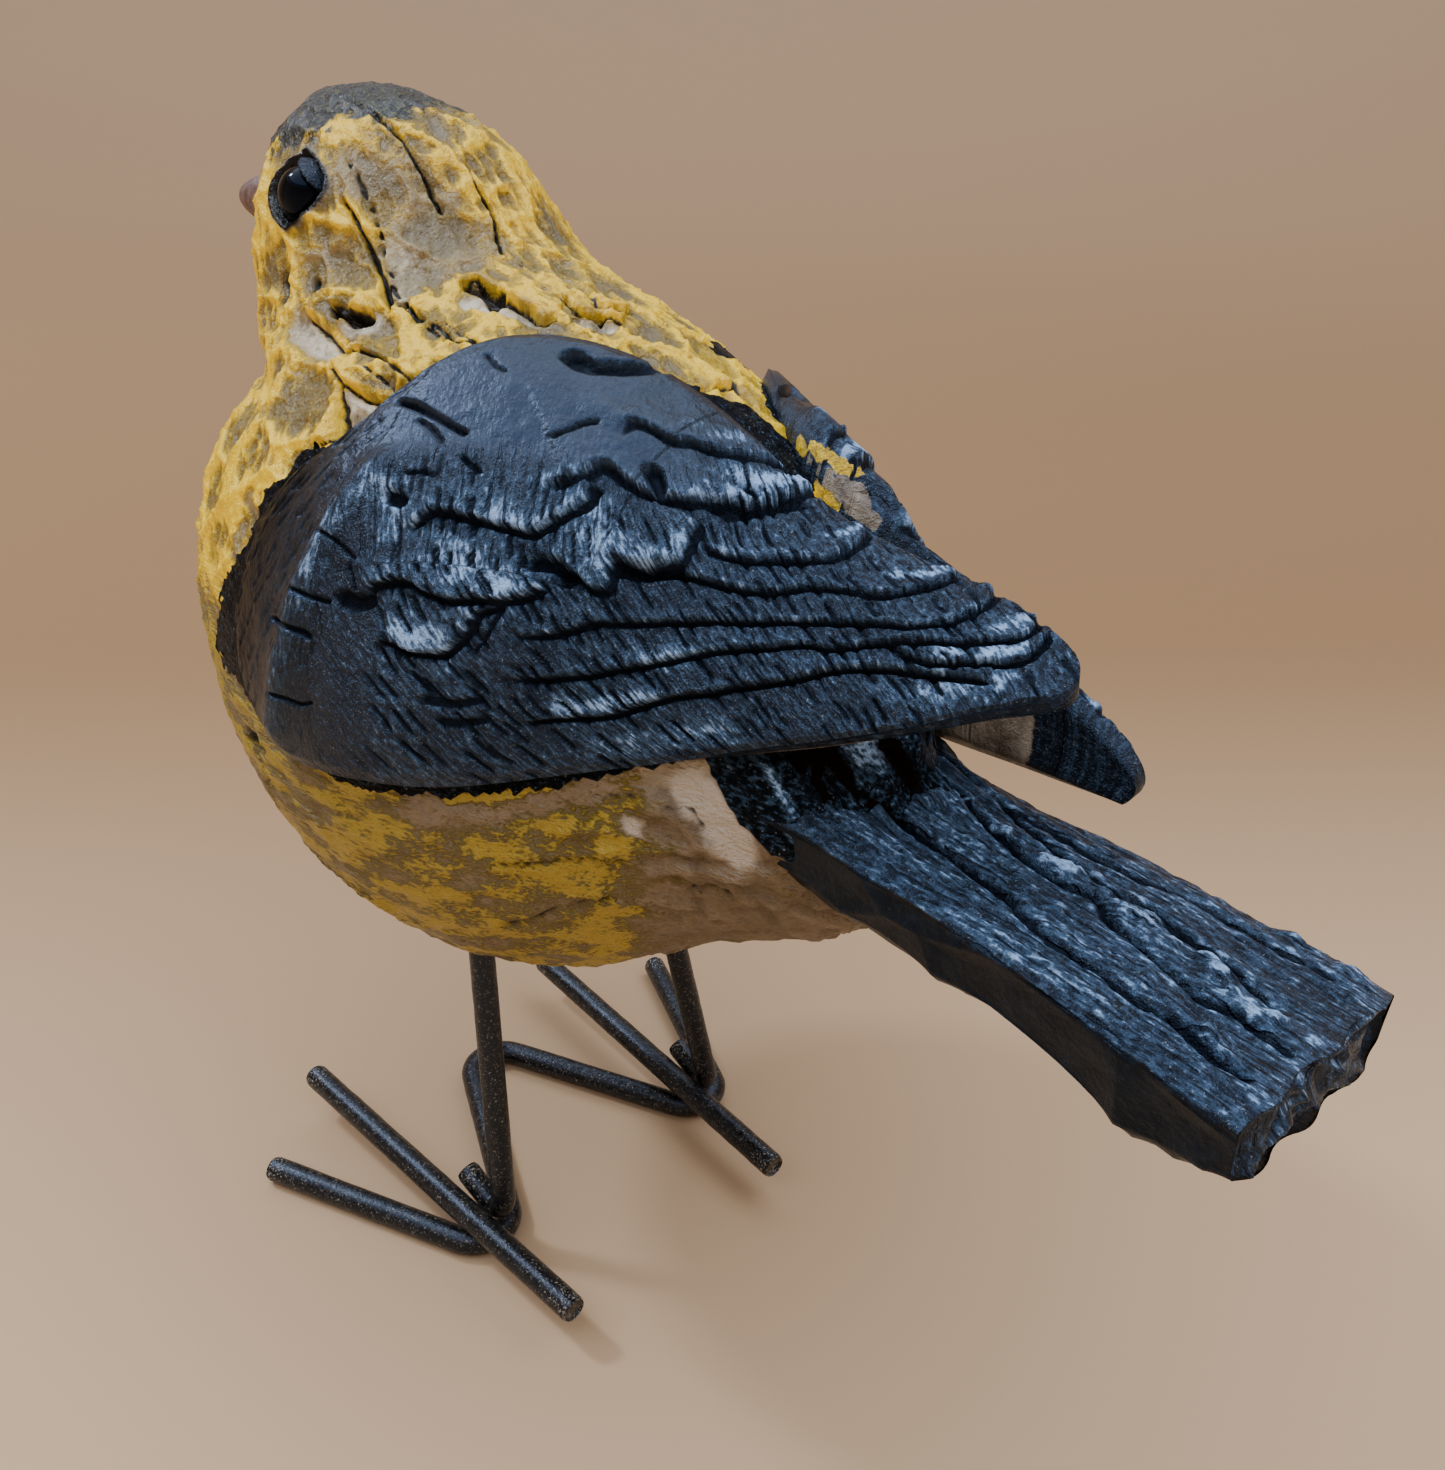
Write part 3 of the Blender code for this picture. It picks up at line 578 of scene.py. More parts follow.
# %% The beak
BEAK_TIP = (9.6, -54.9, 66.2)
BEAK_HALF_WIDTH, BEAK_HALF_HEIGHT = 3.7, 4.1


def beak_points():
    """A ball drawn out along the beak, from the middle of the face to the tip."""
    root = Vector(FACE_MIDDLE)
    along = Vector(BEAK_TIP) - root
    ball = bmesh.new()
    bmesh.ops.create_uvsphere(ball, u_segments=72, v_segments=60, radius=1.0)
    stretch = Matrix.Diagonal((BEAK_HALF_WIDTH, BEAK_HALF_HEIGHT, along.length, 1.0))
    turned = along.to_track_quat("Z", "Y").to_matrix().to_4x4()
    bmesh.ops.transform(ball, matrix=Matrix.Translation(root) @ turned @ stretch, verts=ball.verts)
    ball.verts.index_update()
    points = np.array([vert.co for vert in ball.verts])
    faces = [[v.index for v in f.verts] for f in ball.faces]
    ball.free()
    return points, faces


beak_base, beak_faces = beak_points()

# %% Wires
TOE_WIRE, LEG_WIRE = 3.0, 2.8
FOOT_SPREAD, REAR_BEND_BACK = 33.6, 4.9
OUTER_TOE_SPREAD, OUTER_TOE_FRONT = 61.8, 27.4
FRONT_BEND_AHEAD = 32.5
BARS_ASIDE, BAR_FRONT_SPREAD, BAR_REAR_SPREAD = 1.5, 36.6, 30.6
BAR_FRONT, BAR_REAR, FRONT_TOE_RISE = 34.6, 15.9, 0.8
WIRE_BEND, LEG_BEND = 3.8, 1.8
LEG_CORNER_HEIGHT, LEG_FOOT_REACH, LEG_FOOT_RISE = 3.9, 7.0, 2.7
LEG_IN_BELLY = (12.3, 0.2)
CLEARANCE = 0.3
WIRE_SIDES = 28
WIRE_STEP = 0.45  # mm between rings


def bent_path(corners, radius, steps=10):
    """The corners with each inner one replaced by an arc of the given radius."""
    points = [Vector(corners[0])]
    for before, corner, after in zip(corners, corners[1:], corners[2:]):
        corner = Vector(corner)
        back = (Vector(before) - corner).normalized()
        ahead = (Vector(after) - corner).normalized()
        half = back.angle(ahead) / 2.0
        middle = corner + (back + ahead).normalized() * (radius / sin(half))
        start = (corner + back * (radius / tan(half)) - middle).normalized()
        end = (corner + ahead * (radius / tan(half)) - middle).normalized()
        points += [middle + start.slerp(end, n / steps) * radius for n in range(steps + 1)]
    return np.array(points + [Vector(corners[-1])])


def even_path(points, step):
    """The same path with a point every step."""
    lengths = np.linalg.norm(np.diff(points, axis=0), axis=1)
    at = np.concatenate([[0.0], np.cumsum(lengths)])
    count = int(at[-1] / step) + 2
    places = np.linspace(0, at[-1], count)
    return np.stack([np.interp(places, at, points[:, k]) for k in range(3)], axis=1), places


def wire_object(name, path, diameter):
    """A round rod along the path, with rounded ends and lumps of paint."""
    line, along = even_path(path, WIRE_STEP)
    ways = np.gradient(line, axis=0)
    ways /= np.linalg.norm(ways, axis=1, keepdims=True)
    side = np.cross(ways[0], (0.3, 0.2, 1.0))
    sides = []
    for way in ways:
        side = side - way * (side @ way)
        side = side / np.linalg.norm(side)
        sides.append(side)
    sides = np.array(sides)
    ups = np.cross(ways, sides)
    turn = np.arange(WIRE_SIDES) / WIRE_SIDES * 2 * pi
    out = sides[:, None] * np.cos(turn)[None, :, None] + ups[:, None] * np.sin(turn)[None, :, None]
    from_end = np.minimum(along, along[-1] - along)
    radius = diameter / 2 * (1 - 0.12 * ramp(1 - from_end / 0.45))
    rings = line[:, None] + out * radius[:, None, None]
    flat = rings.reshape(-1, 3)
    lumps = 0.09 * (clouds(flat, 2.0, 71) - 0.5) + 0.05 * (clouds(flat, 0.6, 75) - 0.5)
    flat = flat + out.reshape(-1, 3) * lumps[:, None]
    flat[:, 2] = np.maximum(flat[:, 2], 0.0)
    count = len(line)
    faces = ring_faces(count, WIRE_SIDES).tolist()
    faces.append(list(range(WIRE_SIDES))[::-1])
    faces.append([(count - 1) * WIRE_SIDES + n for n in range(WIRE_SIDES)])
    numbers = {"from_end": np.repeat(from_end, WIRE_SIDES)}
    return mesh_object(name, flat, faces, numbers, flat=True)


def bar_point(side, y):
    """A point of a toe bar's middle line."""
    share = (y + BAR_FRONT) / (BAR_FRONT + BAR_REAR)
    spread = BAR_FRONT_SPREAD + (BAR_REAR_SPREAD - BAR_FRONT_SPREAD) * share
    height = 1.5 * TOE_WIRE + CLEARANCE + FRONT_TOE_RISE * max(0.0, -y) / BAR_FRONT
    return stand + (BARS_ASIDE + side * spread / 2, y, height)


def leg_path(side):
    """From inside the belly down to the bend beside the toe bar, and forward to the foot's end."""
    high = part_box("left_leg" if side > 0 else "right_leg")[1].z / MM
    beside = (-(TOE_WIRE + LEG_WIRE) / 2 - CLEARANCE, 0, 0)
    foot = bar_point(side, 0) + beside
    foot[2] = LEG_CORNER_HEIGHT
    toe = bar_point(side, -LEG_FOOT_REACH) + beside
    toe[2] = LEG_CORNER_HEIGHT + LEG_FOOT_RISE
    out, back = LEG_IN_BELLY
    belly = to_world(np.array([[side * out, back, 0.0]]))[0]
    way = (belly - foot) / np.linalg.norm(belly - foot)
    top = foot + way * ((high - LEG_WIRE / 4 - foot[2]) / way[2])
    return bent_path([top, foot, toe], LEG_BEND)


def toes_path():
    """The wire on the ground, bent to a W."""
    bend, end = FOOT_SPREAD / 2, OUTER_TOE_SPREAD / 2
    corners = (
        (end, -OUTER_TOE_FRONT),
        (bend, REAR_BEND_BACK),
        (0, -FRONT_BEND_AHEAD),
        (-bend, REAR_BEND_BACK),
        (-end, -OUTER_TOE_FRONT),
    )
    return bent_path([stand + (x - TOES_ASIDE, y, TOE_WIRE / 2) for x, y in corners], WIRE_BEND)


wires = {"joined_toes": wire_object("joined_toes_wire", toes_path(), TOE_WIRE)}
for name, side in (("left", 1), ("right", -1)):
    bar = np.array([bar_point(side, -BAR_FRONT), bar_point(side, BAR_REAR)])
    wires[f"{name}_toe_bar"] = wire_object(f"{name}_bar_wire", bar, TOE_WIRE)
    wires[f"{name}_leg"] = wire_object(f"{name}_leg_wire", leg_path(side), LEG_WIRE)

# %% [markdown]
# ## Feathers and knife cuts
#
# Each feather is one drawn line: its free edge. On one side of the line the wood stands proud
# and sinks back slowly, on the other side it drops into a groove that the paint darkens as painted
# shade. The lines are drawn where the picture shows them, and are then kept as places on the
# wing's own grid, so that the same feathers can be cut into the other wing.

# %% Lines on the near wing, in pixels of the picture
FEATHER_EDGES = (  # how proud, how far it takes to sink back, and the edge from root to tip
    (0.60, 3.0, (
        (700, 543), (720, 555), (745, 563), (778, 562), (809, 562), (833, 560), (850, 551), (863, 540),
        (867, 528),
    )),
    (0.50, 3.0, (
        (645, 568), (681, 575), (724, 587), (757, 593), (785, 591), (809, 588), (843, 590), (878, 596),
        (901, 594), (935, 587), (953, 578), (958, 568),
    )),
    (0.42, 2.6, (
        (488, 636), (540, 635), (573, 628), (594, 621), (627, 623), (692, 622), (757, 622), (811, 622),
        (880, 624), (924, 627), (958, 621), (981, 610), (995, 598), (993, 587),
    )),
    (0.42, 2.6, (
        (482, 680), (530, 678), (577, 676), (640, 666), (703, 653), (763, 648), (809, 644), (832, 648),
        (878, 644), (935, 643), (970, 644), (1004, 642), (1029, 633), (1038, 617),
    )),
    (0.35, 2.2, (
        (887, 640), (901, 651), (924, 662), (958, 664), (992, 663), (1022, 658), (1038, 647), (1046, 636),
    )),
    (0.45, 2.6, (
        (520, 722), (541, 720), (608, 714), (672, 697), (740, 687), (797, 678), (832, 670), (878, 667),
        (924, 671), (985, 680),
    )),
    (0.65, 3.4, (
        (362, 600), (377, 584), (402, 581), (424, 590), (440, 596), (457, 601), (499, 603), (524, 599),
        (541, 588),
    )),
    (0.75, 3.8, (
        (541, 563), (562, 565), (573, 573), (594, 590), (611, 588), (615, 564), (628, 563), (648, 568),
        (679, 566), (690, 548), (700, 525),
    )),
    (0.70, 3.6, (
        (404, 535), (424, 518), (440, 511), (482, 522), (509, 527), (535, 533), (562, 520), (583, 509),
        (600, 492),
    )),
    (0.60, 3.4, ((373, 636), (388, 642), (409, 650), (445, 653), (466, 629), (480, 615), (500, 606))),
    (0.95, 4.0, (
        (540, 488), (573, 485), (605, 470), (616, 472), (633, 487), (651, 496), (670, 499), (692, 503),
        (718, 503), (757, 508), (785, 501), (811, 492), (817, 476),
    )),
    (0.60, 3.6, (
        (616, 441), (631, 427), (648, 429), (674, 442), (692, 446), (720, 457), (750, 462), (774, 462),
        (800, 456), (803, 445),
    )),
)
WING_RIDGES = (  # height, half width in mm, and the middle line
    (1.0, 1.7, (
        (381, 470), (350, 505), (330, 535), (314, 565), (302, 590), (292, 620), (284, 650), (278, 686),
        (276, 722),
    )),
)
WING_CRACKS = (  # depth, half width in mm
    (0.9, 0.20, ((395, 400), (416, 406), (445, 423), (469, 436))),
    (0.6, 0.16, ((416, 417), (431, 429), (442, 444))),
    (0.6, 0.18, ((460, 455), (471, 465), (483, 473))),
    (0.5, 0.16, ((486, 354), (495, 366), (507, 373))),
    (0.7, 0.20, ((548, 441), (569, 432), (584, 427), (603, 425))),
    (0.5, 0.16, ((404, 474), (424, 473), (437, 479))),
    (0.6, 0.16, ((325, 532), (338, 541), (352, 556), (358, 561))),
    (0.6, 0.16, ((298, 588), (312, 597), (332, 603))),
    (0.7, 0.18, ((268, 618), (286, 624), (303, 633), (312, 640))),
    (0.5, 0.16, ((275, 690), (290, 700), (300, 704), (314, 702))),
    (0.5, 0.14, ((348, 563), (352, 577), (355, 592))),
    (0.5, 0.16, ((505, 608), (495, 622), (484, 636), (470, 655))),
)
WING_HOLLOWS = (  # depth, half width in mm
    (1.3, 0.75, ((574, 356), (592, 366), (633, 369), (657, 363))),
    (1.2, 0.60, ((655, 478), (660, 492))),
    (1.0, 0.50, ((747, 490), (754, 499))),
    (1.2, 0.60, ((536, 562), (556, 566), (566, 578))),
    (1.2, 0.55, ((625, 572), (650, 574), (676, 571))),
    (0.4, 0.35, ((425, 700), (450, 705), (475, 700))),
    (0.4, 0.30, ((440, 722), (455, 724), (480, 722))),
    (0.9, 0.50, ((341, 598), (352, 604), (366, 601))),
    (0.8, 0.45, ((393, 497), (405, 504))),
    (0.6, 0.45, ((712, 506), (740, 514), (800, 503))),
)
BRUSHED = (  # strength of the pale dry-brushing, half width in mm
    (0.80, 1.1, ((378, 480), (345, 512), (326, 545), (308, 585), (296, 612))),
    (0.60, 1.0, ((290, 640), (283, 672), (279, 700), (278, 730))),
    (0.70, 1.5, ((385, 492), (403, 508), (398, 520))),
    (0.95, 1.5, ((404, 630), (424, 636), (440, 645))),
    (0.75, 2.2, ((452, 560), (480, 578), (505, 586))),
    (1.00, 0.9, ((498, 520), (532, 529), (565, 516), (592, 498))),
    (0.85, 1.5, ((592, 512), (598, 540), (606, 565))),
    (0.80, 1.1, ((622, 545), (628, 560), (650, 562))),
    (0.80, 0.8, ((672, 560), (688, 545), (697, 530))),
    (1.00, 1.3, ((738, 478), (770, 488), (806, 484))),
    (0.95, 0.9, ((718, 494), (740, 500), (760, 500))),
    (0.90, 1.2, ((694, 428), (714, 436), (738, 440))),
    (0.70, 0.8, ((545, 482), (575, 478), (604, 465))),
    (0.70, 0.7, ((832, 536), (848, 536), (862, 530))),
    (0.80, 0.9, ((896, 576), (925, 578), (952, 568))),
    (0.85, 0.8, ((945, 656), (980, 657), (1018, 650))),
    (0.70, 0.8, ((1000, 632), (1020, 624), (1034, 612))),
    (0.60, 0.9, ((640, 655), (660, 660), (680, 656))),
    (0.65, 0.9, ((560, 706), (600, 706), (650, 698))),
    (0.55, 1.2, ((600, 745), (650, 742), (720, 728))),
    (0.55, 1.0, ((880, 690), (940, 690), (1000, 678))),
)


# %% [markdown]
# ## Torn fibres
#
# The rump and the tail's top were torn rather than cut. Noise that is drawn out along the tail
# gives long fibres, and one rule serves both pieces, so that they meet without a step.

# %% Bark of tail and rump
MELT = 2.2  # mm, how softly the tail flows into the rump
MELT_FILL = 0.69  # the share of it that is filled where the two meet


def bark(points):
    """Height in mm, how brushed and how hollow the torn top is, and its lumps from 0 to 1."""
    torn = clouds(points * (1.0, 0.16, 1.0), 1.5, 301, 4)
    fibres = clouds(points * (1.0, 0.10, 1.0), 0.55, 311, 2)
    lumps = clouds(points, 1.1, 321)
    height = 0.8 * (torn - 0.5) + 0.35 * (fibres - 0.5) + 0.30 * (lumps - 0.5)
    brushed = 0.25 + 0.25 * ramp((torn - 0.42) / 0.25) + 0.15 * ramp((fibres - 0.48) / 0.2)
    return height, brushed, 0.3 * ramp((0.38 - fibres) / 0.12), lumps


def from_tail(points):
    """Distance in mm from the tail's board, and the height over its underside."""
    x, y, z = points.T
    share = (y - TAIL_ROOT) / (TAIL_END - TAIL_ROOT)
    half = TAIL_ROOT_HALF_WIDTH + (TAIL_END_HALF_WIDTH - TAIL_ROOT_HALF_WIDTH) * share
    above = z - np.interp(y, *zip(*TAIL_TOP))
    below = np.interp(y, *zip(*TAIL_UNDER)) - z
    across = np.maximum(np.abs(x) - half, 0)
    return np.hypot(across, np.maximum(np.maximum(above, below), 0)), -below


# %% Relief of a wing
FLIGHT_CUTS = (1.0, 40, 3.4)  # mm between knife cuts, their slope in degrees and length in mm
COVERT_CUTS = (0.8, 62, 4.2)
FINE_CUTS = (0.5, 42, 2.0)  # the finest of all are left to the bump
SCRATCHES = (1.3, -58, 2.6)
CUT_HALF_WIDTH, CUT_DEPTH, FINE_CUT_DEPTH, SCRATCH_DEPTH = 0.20, 0.50, 0.08, 0.16  # mm
GROOVE_DEPTH, GROOVE_AWAY, GROOVE_HALF_WIDTH = 0.6, 0.22, 0.24  # mm, the drop at a feather's edge


def knife_cuts(flat, pitch, slope, length, seed):
    """1 in short parallel cuts that slope down to the tip, 0 between them, and the way along them."""
    a = radians(slope)
    wander = 0.5 * (cloud(np.column_stack([flat, 0 * flat[:, 0]]), 3.0, seed) - 0.5)
    along = flat[:, 0] * cos(a) - flat[:, 1] * sin(a)
    across = flat[:, 0] * sin(a) + flat[:, 1] * cos(a) + wander
    dice = np.random.default_rng(seed).random((3, 97, 97))
    deepest = np.zeros(len(flat))
    for step in (-1, 0, 1):
        row = np.floor(across / pitch).astype(int) + step
        middle = (row + 0.5 + 0.7 * (dice[0, row % 97, 0] - 0.5)) * pitch
        place = along / length + 7 * dice[1, row % 97, 1]
        piece = np.floor(place).astype(int)
        cut = dice[2, row % 97, piece % 97]
        f = place - piece
        shown = (cut > 0.45) * ramp(f / 0.2) * ramp((1 - f) / 0.3) * (0.5 + 0.5 * cut)
        deepest = np.maximum(deepest, bell((across - middle) / CUT_HALF_WIDTH) * shown)
    return deepest, along, across


def on_wing(lines):
    """Drawn lines as places on the wing's grid."""
    return [(*line[:-1], seen_at(line[-1], left_points, left_ways)) for line in lines]


GRID_EDGES, GRID_RIDGES = on_wing(FEATHER_EDGES), on_wing(WING_RIDGES)
GRID_CRACKS, GRID_HOLLOWS = on_wing(WING_CRACKS), on_wing(WING_HOLLOWS)
GRID_BRUSHED = on_wing(BRUSHED)
print("feather edges:", len(GRID_EDGES), "cracks:", len(GRID_CRACKS))


def carve_wing(base, seed):
    """Height in mm over the smooth wing, and the numbers that its paint reads, by name."""
    flat = base["flat"]
    s, t = base["s"].ravel(), base["t"].ravel()
    solid = np.column_stack([flat, np.full(len(flat), 5.0)])
    rough = 0.5 * (cloud(solid, 2.2, seed) - 0.5) + 0.2 * (cloud(solid, 0.7, seed + 1) - 0.5)
    height = 0.55 * (clouds(solid, 6.0, seed + 2) - 0.5) + 0.14 * (clouds(solid, 0.9, seed + 5) - 0.5)
    # hollow: how far the paint is darkened as painted shade, in grooves, cracks, hollows and cuts
    hollow = np.zeros(len(flat))
    brushed = np.zeros(len(flat))
    for proud, fade, places in GRID_EDGES:
        away, share, side = to_line(flat, flat[places])
        signed = side * away + (0.8 if proud > 0.5 else 0.5) * rough
        at_ends = (share <= 0) | (share >= 1)
        kept = ramp(share / 0.10) * np.where(at_ends, np.exp(-away / 0.6), 1.0)
        height += kept * proud * ramp(signed / 0.2 + 0.5) * np.exp(-np.clip(signed, 0, 30) / fade)
        groove = kept * bell((signed + GROOVE_AWAY) / GROOVE_HALF_WIDTH)
        height -= GROOVE_DEPTH * groove
        hollow = np.maximum(hollow, groove)
        reach = 1.3 if proud > 0.5 else 0.4
        inwards = ramp((signed + 0.1) / 0.2) * np.exp(-np.clip(signed, 0, 30) / reach)
        brushed = np.maximum(brushed, 0.75 * proud * kept * inwards)
    for tall, wide, places in GRID_RIDGES:
        away, _, _ = to_line(flat, flat[places])
        height += tall * bell(away / wide)
    for deep, wide, places in GRID_CRACKS:
        away, share, _ = to_line(flat, flat[places])
        cut = bell((away + 0.25 * rough) / wide) * ramp(share / 0.1) * ramp((1 - share) / 0.1)
        height -= deep * cut
        hollow = np.maximum(hollow, cut)
    for deep, wide, places in GRID_HOLLOWS:
        away, _, _ = to_line(flat, flat[places])
        cut = ramp(1.6 - (away + 0.6 * rough) / wide)
        height -= deep * cut
        hollow = np.maximum(hollow, 0.7 * cut)
    patchy = 0.30 + 1.4 * clouds(solid, 1.6, seed + 9)
    for strength, wide, places in GRID_BRUSHED:
        away, _, _ = to_line(flat, flat[places])
        brushed = np.maximum(brushed, 0.85 * strength * bell(away / (1.05 * wide)))
    shoulder = ramp((t - 0.62) / 0.10) * (1 - ramp((s - 0.48) / 0.10))
    front = np.maximum(1 - ramp((s - 0.16) / 0.10), shoulder)
    feathered = ramp((s - 0.24) / 0.08) * (1 - front)
    flight, along_a, across_a = knife_cuts(flat, *FLIGHT_CUTS, seed + 20)
    covert, along_b, across_b = knife_cuts(flat, *COVERT_CUTS, seed + 21)
    high = ramp((t - 0.42) / 0.05) * (s < 0.5)
    cuts = np.where(high > 0.5, covert, flight) * feathered
    height -= CUT_DEPTH * cuts * (0.6 + 0.6 * cloud(solid, 4.0, seed + 30))
    hollow = np.maximum(hollow, 0.9 * cuts)
    fine, _, _ = knife_cuts(flat, *FINE_CUTS, seed + 22)
    height -= FINE_CUT_DEPTH * fine * feathered
    height += 0.5 * (1 - ramp(t / 0.05)) * (clouds(solid, 2.0, seed + 40) - 0.5)
    smooth = 1 - ramp((s + 0.05 * rough - 0.22) / 0.03)
    scratched, _, _ = knife_cuts(flat, *SCRATCHES, seed + 23)
    height -= SCRATCH_DEPTH * scratched * smooth
    brushed = brushed * patchy * (1 - 0.6 * cuts) + 0.46 * feathered * clouds(solid, 3.0, seed + 45)
    brushed = np.maximum(brushed, 0.30 * scratched * smooth)
    along = np.where(high > 0.5, along_b, along_a)
    across = np.where(high > 0.5, across_b, across_a)
    along = np.where(smooth > 0.5, flat[:, 1], along)
    across = np.where(smooth > 0.5, flat[:, 0], across)
    grain = np.column_stack([along, across, 0 * s])
    # painted shade: the wing's front border is darkened towards near black
    painted_shade = 1 - ramp((s - 0.04) / 0.14)
    return {
        "height": height, "hollow": hollow, "brushed": brushed,
        "grain": grain, "front": front, "painted_shade": painted_shade,
    }


def around_wing(values, inside):
    """Values on the outer grid, carried round the rims and the inside with one plain value."""
    values = np.asarray(values, float)
    grid = values.reshape(WING_STATIONS, WING_ROWS, *values.shape[1:])
    more = wing_ring - WING_ROWS
    if inside is None:
        rest = np.repeat(grid[:, -1:], more, axis=1)
    else:
        rest = np.full((WING_STATIONS, more, *values.shape[1:]), float(inside))
    return np.concatenate([grid, rest], axis=1).reshape(-1, *values.shape[1:])


wing_ring = WING_ROWS + (WING_ROWS - 1) // INNER_SHARE + 1 + 2 * RIM_ROWS


def finished_wing(name, base, side, seed, lifted=0.0, painted=None):
    """A carved wing. lifted is added to its relief, and painted gives further numbers by place."""
    carved = carve_wing(base, seed)
    relief = (carved["height"] + lifted).reshape(base["s"].shape)
    edge = ramp(np.minimum(base["t"], 1 - base["t"]) / 0.03) * ramp((1 - base["s"]) / 0.02)
    relief = relief * (0.35 + 0.65 * edge) - 0.35 * (1 - edge)
    relief -= FRONT_SUNK * (1 - ramp(base["s"] / 0.05))
    inside_ring = np.zeros((WING_STATIONS, wing_ring))
    inside_ring[:, WING_ROWS + RIM_ROWS : wing_ring - RIM_ROWS] = 1.0
    inside_ring *= 1 - ramp((np.linspace(0, 1, WING_STATIONS)[:, None] - 0.80) / 0.04)
    numbers = {
        "brushed": around_wing(carved["brushed"], 0.15),
        "hollow": around_wing(carved["hollow"], 0.0),
        "front": around_wing(carved["front"], 0.0),
        "painted_shade": around_wing(carved["painted_shade"], 0.0),
        "bare": inside_ring.ravel(),
    }
    rings = wing_rings(base, relief)
    if painted:
        bare, numbers["yellow"] = painted(rings.reshape(-1, 3))
        numbers["bare"] = np.maximum(numbers["bare"], bare)
        numbers["hollow"] *= 1 - np.maximum(bare, numbers["yellow"])
    vectors = {"grain": around_wing(carved["grain"], None)}
    return wing_object(name, rings, numbers, vectors, side)


# %% [markdown]
# ## What shows between the wings
#
# Past the near wing's edge the picture shows the far wing's upper margin, tatters of yellow
# paint and a bare patch of primer. They are outlines in pixels. On the wing a point belongs to
# one wherever the camera's ray to it passes inside that outline, on both faces of the wing.

# %% What shows between the wings
RIGHT_LOBE = ((838, 428), (860, 446), (880, 468), (896, 492))
RIGHT_LOBE_HEIGHT, RIGHT_LOBE_WIDTH = 2.4, 3.0
BARE_PATCH = (
    (800, 452), (826, 462), (850, 478), (862, 480), (872, 500), (884, 528), (862, 528), (845, 512),
    (822, 480),
)
PETALS = (
    ((793, 438), (815, 440), (842, 456), (868, 476), (850, 478), (833, 472), (826, 462), (806, 455)),
    ((812, 474), (826, 484), (840, 498), (844, 514), (824, 511), (815, 502)),
)
YELLOW_STRIP = (
    (700, 392), (735, 402), (757, 412), (775, 432), (797, 450), (806, 458),
    (796, 436), (778, 416), (768, 404), (762, 376), (700, 340),
)


def inside_by(places, outline):
    """How far inside a closed outline each place lies; below 0 outside it."""
    closed = (*outline, outline[0])
    away, _, _ = to_line(places, closed, steps=1)
    x, y = places.T
    inside = np.zeros(len(places), bool)
    for (ax, ay), (bx, by) in zip(closed, closed[1:]):
        crosses = (ay > y) != (by > y)
        at = ax + (y - ay) * (bx - ax) / (by - ay if by != ay else 1e-9)
        inside ^= crosses & (x < at)
    return np.where(inside, away, -away)


def between_wings(points):
    """How bare and how yellow the places between the wings are."""
    pixels = pixel_of(points)
    rough = 4.0 * (clouds(points, 1.5, 281) - 0.5)
    petals = np.maximum(*[ramp((inside_by(pixels, petal) + rough) / 2) for petal in PETALS])
    patch = ramp((inside_by(pixels, BARE_PATCH) + 2 * rough) / 3)
    return patch * (1 - petals), petals


right_points = (right_base["start"] + right_base["way"] * right_base["outer"][..., None]).reshape(-1, 3)
right_ways = right_base["way"].reshape(-1, 3)
right_flat = right_base["flat"]
lobe, _, _ = to_line(right_flat, right_flat[seen_at(RIGHT_LOBE, right_points, right_ways)])
lobe_height = RIGHT_LOBE_HEIGHT * bell(lobe / RIGHT_LOBE_WIDTH)
left_wing = finished_wing("left_wing", left_base, 1, 100)
right_wing = finished_wing("right_wing", right_base, -1, 200, lobe_height, between_wings)

# %% [markdown]
# ## Gouge marks, cracks and flaps on the painted body
#
# The body was cut with a gouge, which leaves shallow scoops with sharp ridges between them. The
# wood then opened in long cracks, and where thick primer bridged them it tore into flaps with
# cream-coloured hollows beneath. Scoops come from a rule, and the cracks and flaps are drawn.

# %% Lines on the body, in pixels of the picture
BODY_CRACKS = (  # depth, half width in mm
    (1.2, 0.24, (
        (335, 93), (354, 103), (378, 118), (400, 136), (413, 156), (426, 175), (434, 194), (443, 210),
    )),
    (1.2, 0.26, ((337, 196), (350, 213), (363, 235), (372, 253), (382, 277), (387, 297), (390, 315))),
    (0.7, 0.20, ((466, 159), (475, 180), (481, 194), (492, 215), (498, 235), (504, 253), (516, 262))),
    (0.7, 0.18, ((525, 191), (542, 212), (557, 233), (566, 244))),
    (0.5, 0.16, ((516, 262), (533, 271), (556, 283), (578, 292))),
    (0.40, 0.30, ((495, 865), (530, 865), (582, 859), (630, 857))),
    (0.3, 0.28, ((657, 805), (692, 809), (705, 820), (716, 833))),
    (0.5, 0.30, ((685, 888), (709, 884), (730, 895), (757, 905))),
    (0.4, 0.30, ((500, 925), (540, 915), (580, 905), (622, 893))),
    (0.4, 0.30, ((300, 850), (330, 865), (370, 895), (400, 915))),
    (0.3, 0.28, ((585, 800), (630, 796), (650, 795))),
    (0.5, 0.18, ((246, 735), (258, 752), (270, 780), (276, 800))),
    (0.7, 0.20, ((357, 350), (380, 358), (400, 372), (412, 382))),
    (0.4, 0.16, ((598, 340), (622, 352), (650, 362))),
)
BODY_PITS = (  # rows of small pits: depth, half width in mm
    (0.7, 0.28, (
        (340, 153), (349, 165), (360, 183), (366, 200), (375, 224), (381, 247), (390, 282), (404, 300),
        (416, 315), (428, 323), (448, 340),
    )),
    (0.6, 0.24, ((398, 300), (412, 312), (436, 322), (452, 338), (469, 341))),
    (0.5, 0.22, ((443, 318), (462, 333), (478, 346))),
    (0.5, 0.22, ((356, 362), (372, 372), (392, 385))),
)
